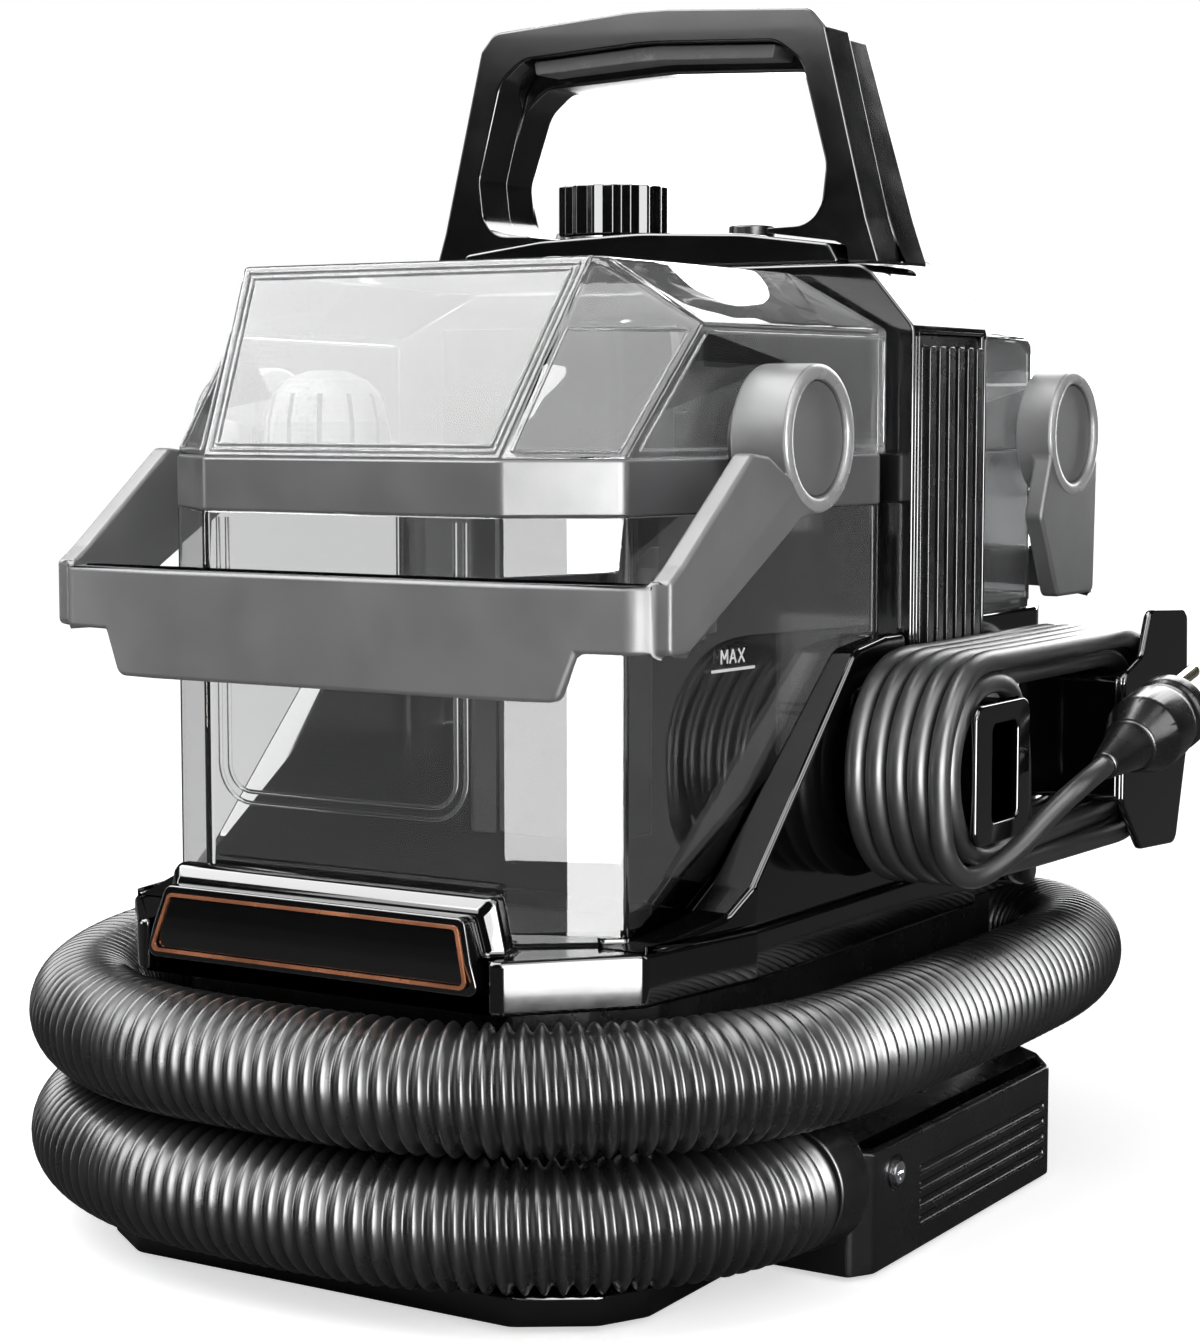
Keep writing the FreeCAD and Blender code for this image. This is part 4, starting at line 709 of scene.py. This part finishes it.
LET = {"M": [((0, 0), (0, 1)), ((0, 1), (0.5, 0.35)), ((0.5, 0.35), (1, 1)), ((1, 1), (1, 0))],
       "A": [((0, 0), (0.5, 1)), ((0.5, 1), (1, 0)), ((0.2, 0.35), (0.8, 0.35))],
       "X": [((0, 0), (1, 1)), ((0, 1), (1, 0))]}
yy = -0.0893
for ch in "MAX":
    for (a, b), (c, d) in LET[ch]:
        stroke(mk, (yy + a * 0.0032, 0.1852 + b * 0.0042), (yy + c * 0.0032, 0.1852 + d * 0.0042))
    yy += 0.0045
bmesh.ops.recalc_face_normals(mk, faces=mk.faces)
mme = bpy.data.meshes.new("fill_mark_mesh")
mk.to_mesh(mme)
mk.free()
finish_obj("fill_mark", mme, M["mark_white"], "dirty_tank", 30)

# ------------------------------------------------------------------ stage and light
fl = bpy.data.meshes.new("floor_mesh")
fl.from_pydata([(-9, -9, 0), (9, -9, 0), (9, 9, 0), (-9, 9, 0)], [], [(0, 1, 2, 3)])
floor = bpy.data.objects.new("floor", fl)
scene.collection.objects.link(floor)
fm, nt, out = new_mat("floor_pale")
d1 = add(nt, "ShaderNodeBsdfDiffuse")
tc = add(nt, "ShaderNodeTexCoord").outputs["Object"]
nt.links.new(blend_col(nt, ranged(nt, noise(nt, tc, 3, 4), 0, 1), (0.86, 0.86, 0.86), (0.9, 0.9, 0.9)), d1.inputs["Color"])
d2 = add(nt, "ShaderNodeBsdfDiffuse")
d2.inputs["Color"].default_value = (0.15, 0.15, 0.15, 1)
lp = add(nt, "ShaderNodeLightPath")
mx = add(nt, "ShaderNodeMixShader")
nt.links.new(lp.outputs["Is Glossy Ray"], mx.inputs["Fac"])
nt.links.new(d1.outputs["BSDF"], mx.inputs[1])
nt.links.new(d2.outputs["BSDF"], mx.inputs[2])
em = add(nt, "ShaderNodeEmission")
em.inputs["Color"].default_value = (1, 1, 1, 1)
mc = add(nt, "ShaderNodeMath", operation="MULTIPLY")
mc.inputs[1].default_value = 0.62
either = add(nt, "ShaderNodeMath", operation="MAXIMUM")
nt.links.new(lp.outputs["Is Camera Ray"], either.inputs[0])
nt.links.new(lp.outputs["Is Transmission Ray"], either.inputs[1])
nt.links.new(either.outputs["Value"], mc.inputs[0])
nt.links.new(mc.outputs["Value"], em.inputs["Strength"])
ad = add(nt, "ShaderNodeAddShader")
nt.links.new(mx.outputs["Shader"], ad.inputs[0])
nt.links.new(em.outputs["Emission"], ad.inputs[1])
nt.links.new(ad.outputs["Shader"], out.inputs["Surface"])
fl.materials.append(fm)

w = bpy.data.worlds.new("studio") if scene.world is None else scene.world
scene.world = w
w.use_nodes = True
nt = w.node_tree
nt.nodes.clear()
wo = nt.nodes.new("ShaderNodeOutputWorld")
bg = nt.nodes.new("ShaderNodeBackground")
lp = nt.nodes.new("ShaderNodeLightPath")
mr = nt.nodes.new("ShaderNodeMapRange")
mr.inputs["To Min"].default_value, mr.inputs["To Max"].default_value = 1.0, 0.025
nt.links.new(lp.outputs["Is Glossy Ray"], mr.inputs["Value"])
md = nt.nodes.new("ShaderNodeMapRange")
md.inputs["To Min"].default_value, md.inputs["To Max"].default_value = 1.0, 0.5
nt.links.new(lp.outputs["Is Diffuse Ray"], md.inputs["Value"])
mu = nt.nodes.new("ShaderNodeMath")
mu.operation = "MULTIPLY"
nt.links.new(mr.outputs["Result"], mu.inputs[0])
nt.links.new(md.outputs["Result"], mu.inputs[1])
bg.inputs["Color"].default_value = (1, 1, 1, 1)
nt.links.new(mu.outputs["Value"], bg.inputs["Strength"])
nt.links.new(bg.outputs["Background"], wo.inputs["Surface"])


def softbox(name, pos, target, sx, sy, radiance, diffuse=True, glossy=True, through=False, col=(1, 1, 1)):
    la = bpy.data.lights.new(name, "AREA")
    la.shape = "RECTANGLE"
    la.size, la.size_y = sx, sy
    la.energy = radiance * math.pi * sx * sy
    la.color = col
    ob = bpy.data.objects.new(name, la)
    scene.collection.objects.link(ob)
    ob.location = pos
    ob.rotation_euler = (Vector(target) - Vector(pos)).to_track_quat("-Z", "Y").to_euler()
    ob.visible_camera = False
    ob.visible_transmission = through
    ob.visible_diffuse = diffuse
    ob.visible_glossy = glossy
    return ob


softbox("key_soft", (-0.5, -0.9, 1.6), (0, 0, 0.2), 1.4, 1.4, 2.7, glossy=False)
softbox("fill_right", (1.3, -0.5, 0.9), (0, 0, 0.2), 0.8, 0.8, 2.0, glossy=False)
softbox("gloss_top", (-0.8, -0.5, 1.7), (0, 0, 0.2), 1.9, 1.9, 13.0, diffuse=False)
softbox("gloss_front_right", (0.692, -0.653, 0.43), (0.07, -0.15, 0.43), 0.50, 0.86, 15.0, diffuse=False)
softbox("gloss_front", (-0.55, -1.25, 0.95), (0, 0, 0.25), 0.7, 0.8, 6.0, diffuse=False)
softbox("gloss_back", (-0.25, 1.45, 0.78), (0, 0, 0.25), 1.4, 1.4, 8.0, diffuse=False)
softbox("gloss_corner", (0.481, -0.364, 0.10), (0.06, -0.13, 0.10), 0.34, 0.34, 22.0, diffuse=False)
softbox("gloss_cheek", (1.0, -0.7, 1.35), (0.08, -0.1, 0.2), 1.5, 1.5, 6.5, diffuse=False)
softbox("gloss_left", (-1.3, -0.6, 0.5), (0, 0, 0.25), 0.25, 1.0, 8.0, diffuse=False)
softbox("gloss_right", (1.25, 0.3, 0.7), (0.1, 0, 0.25), 0.2, 1.0, 9.0, diffuse=False)

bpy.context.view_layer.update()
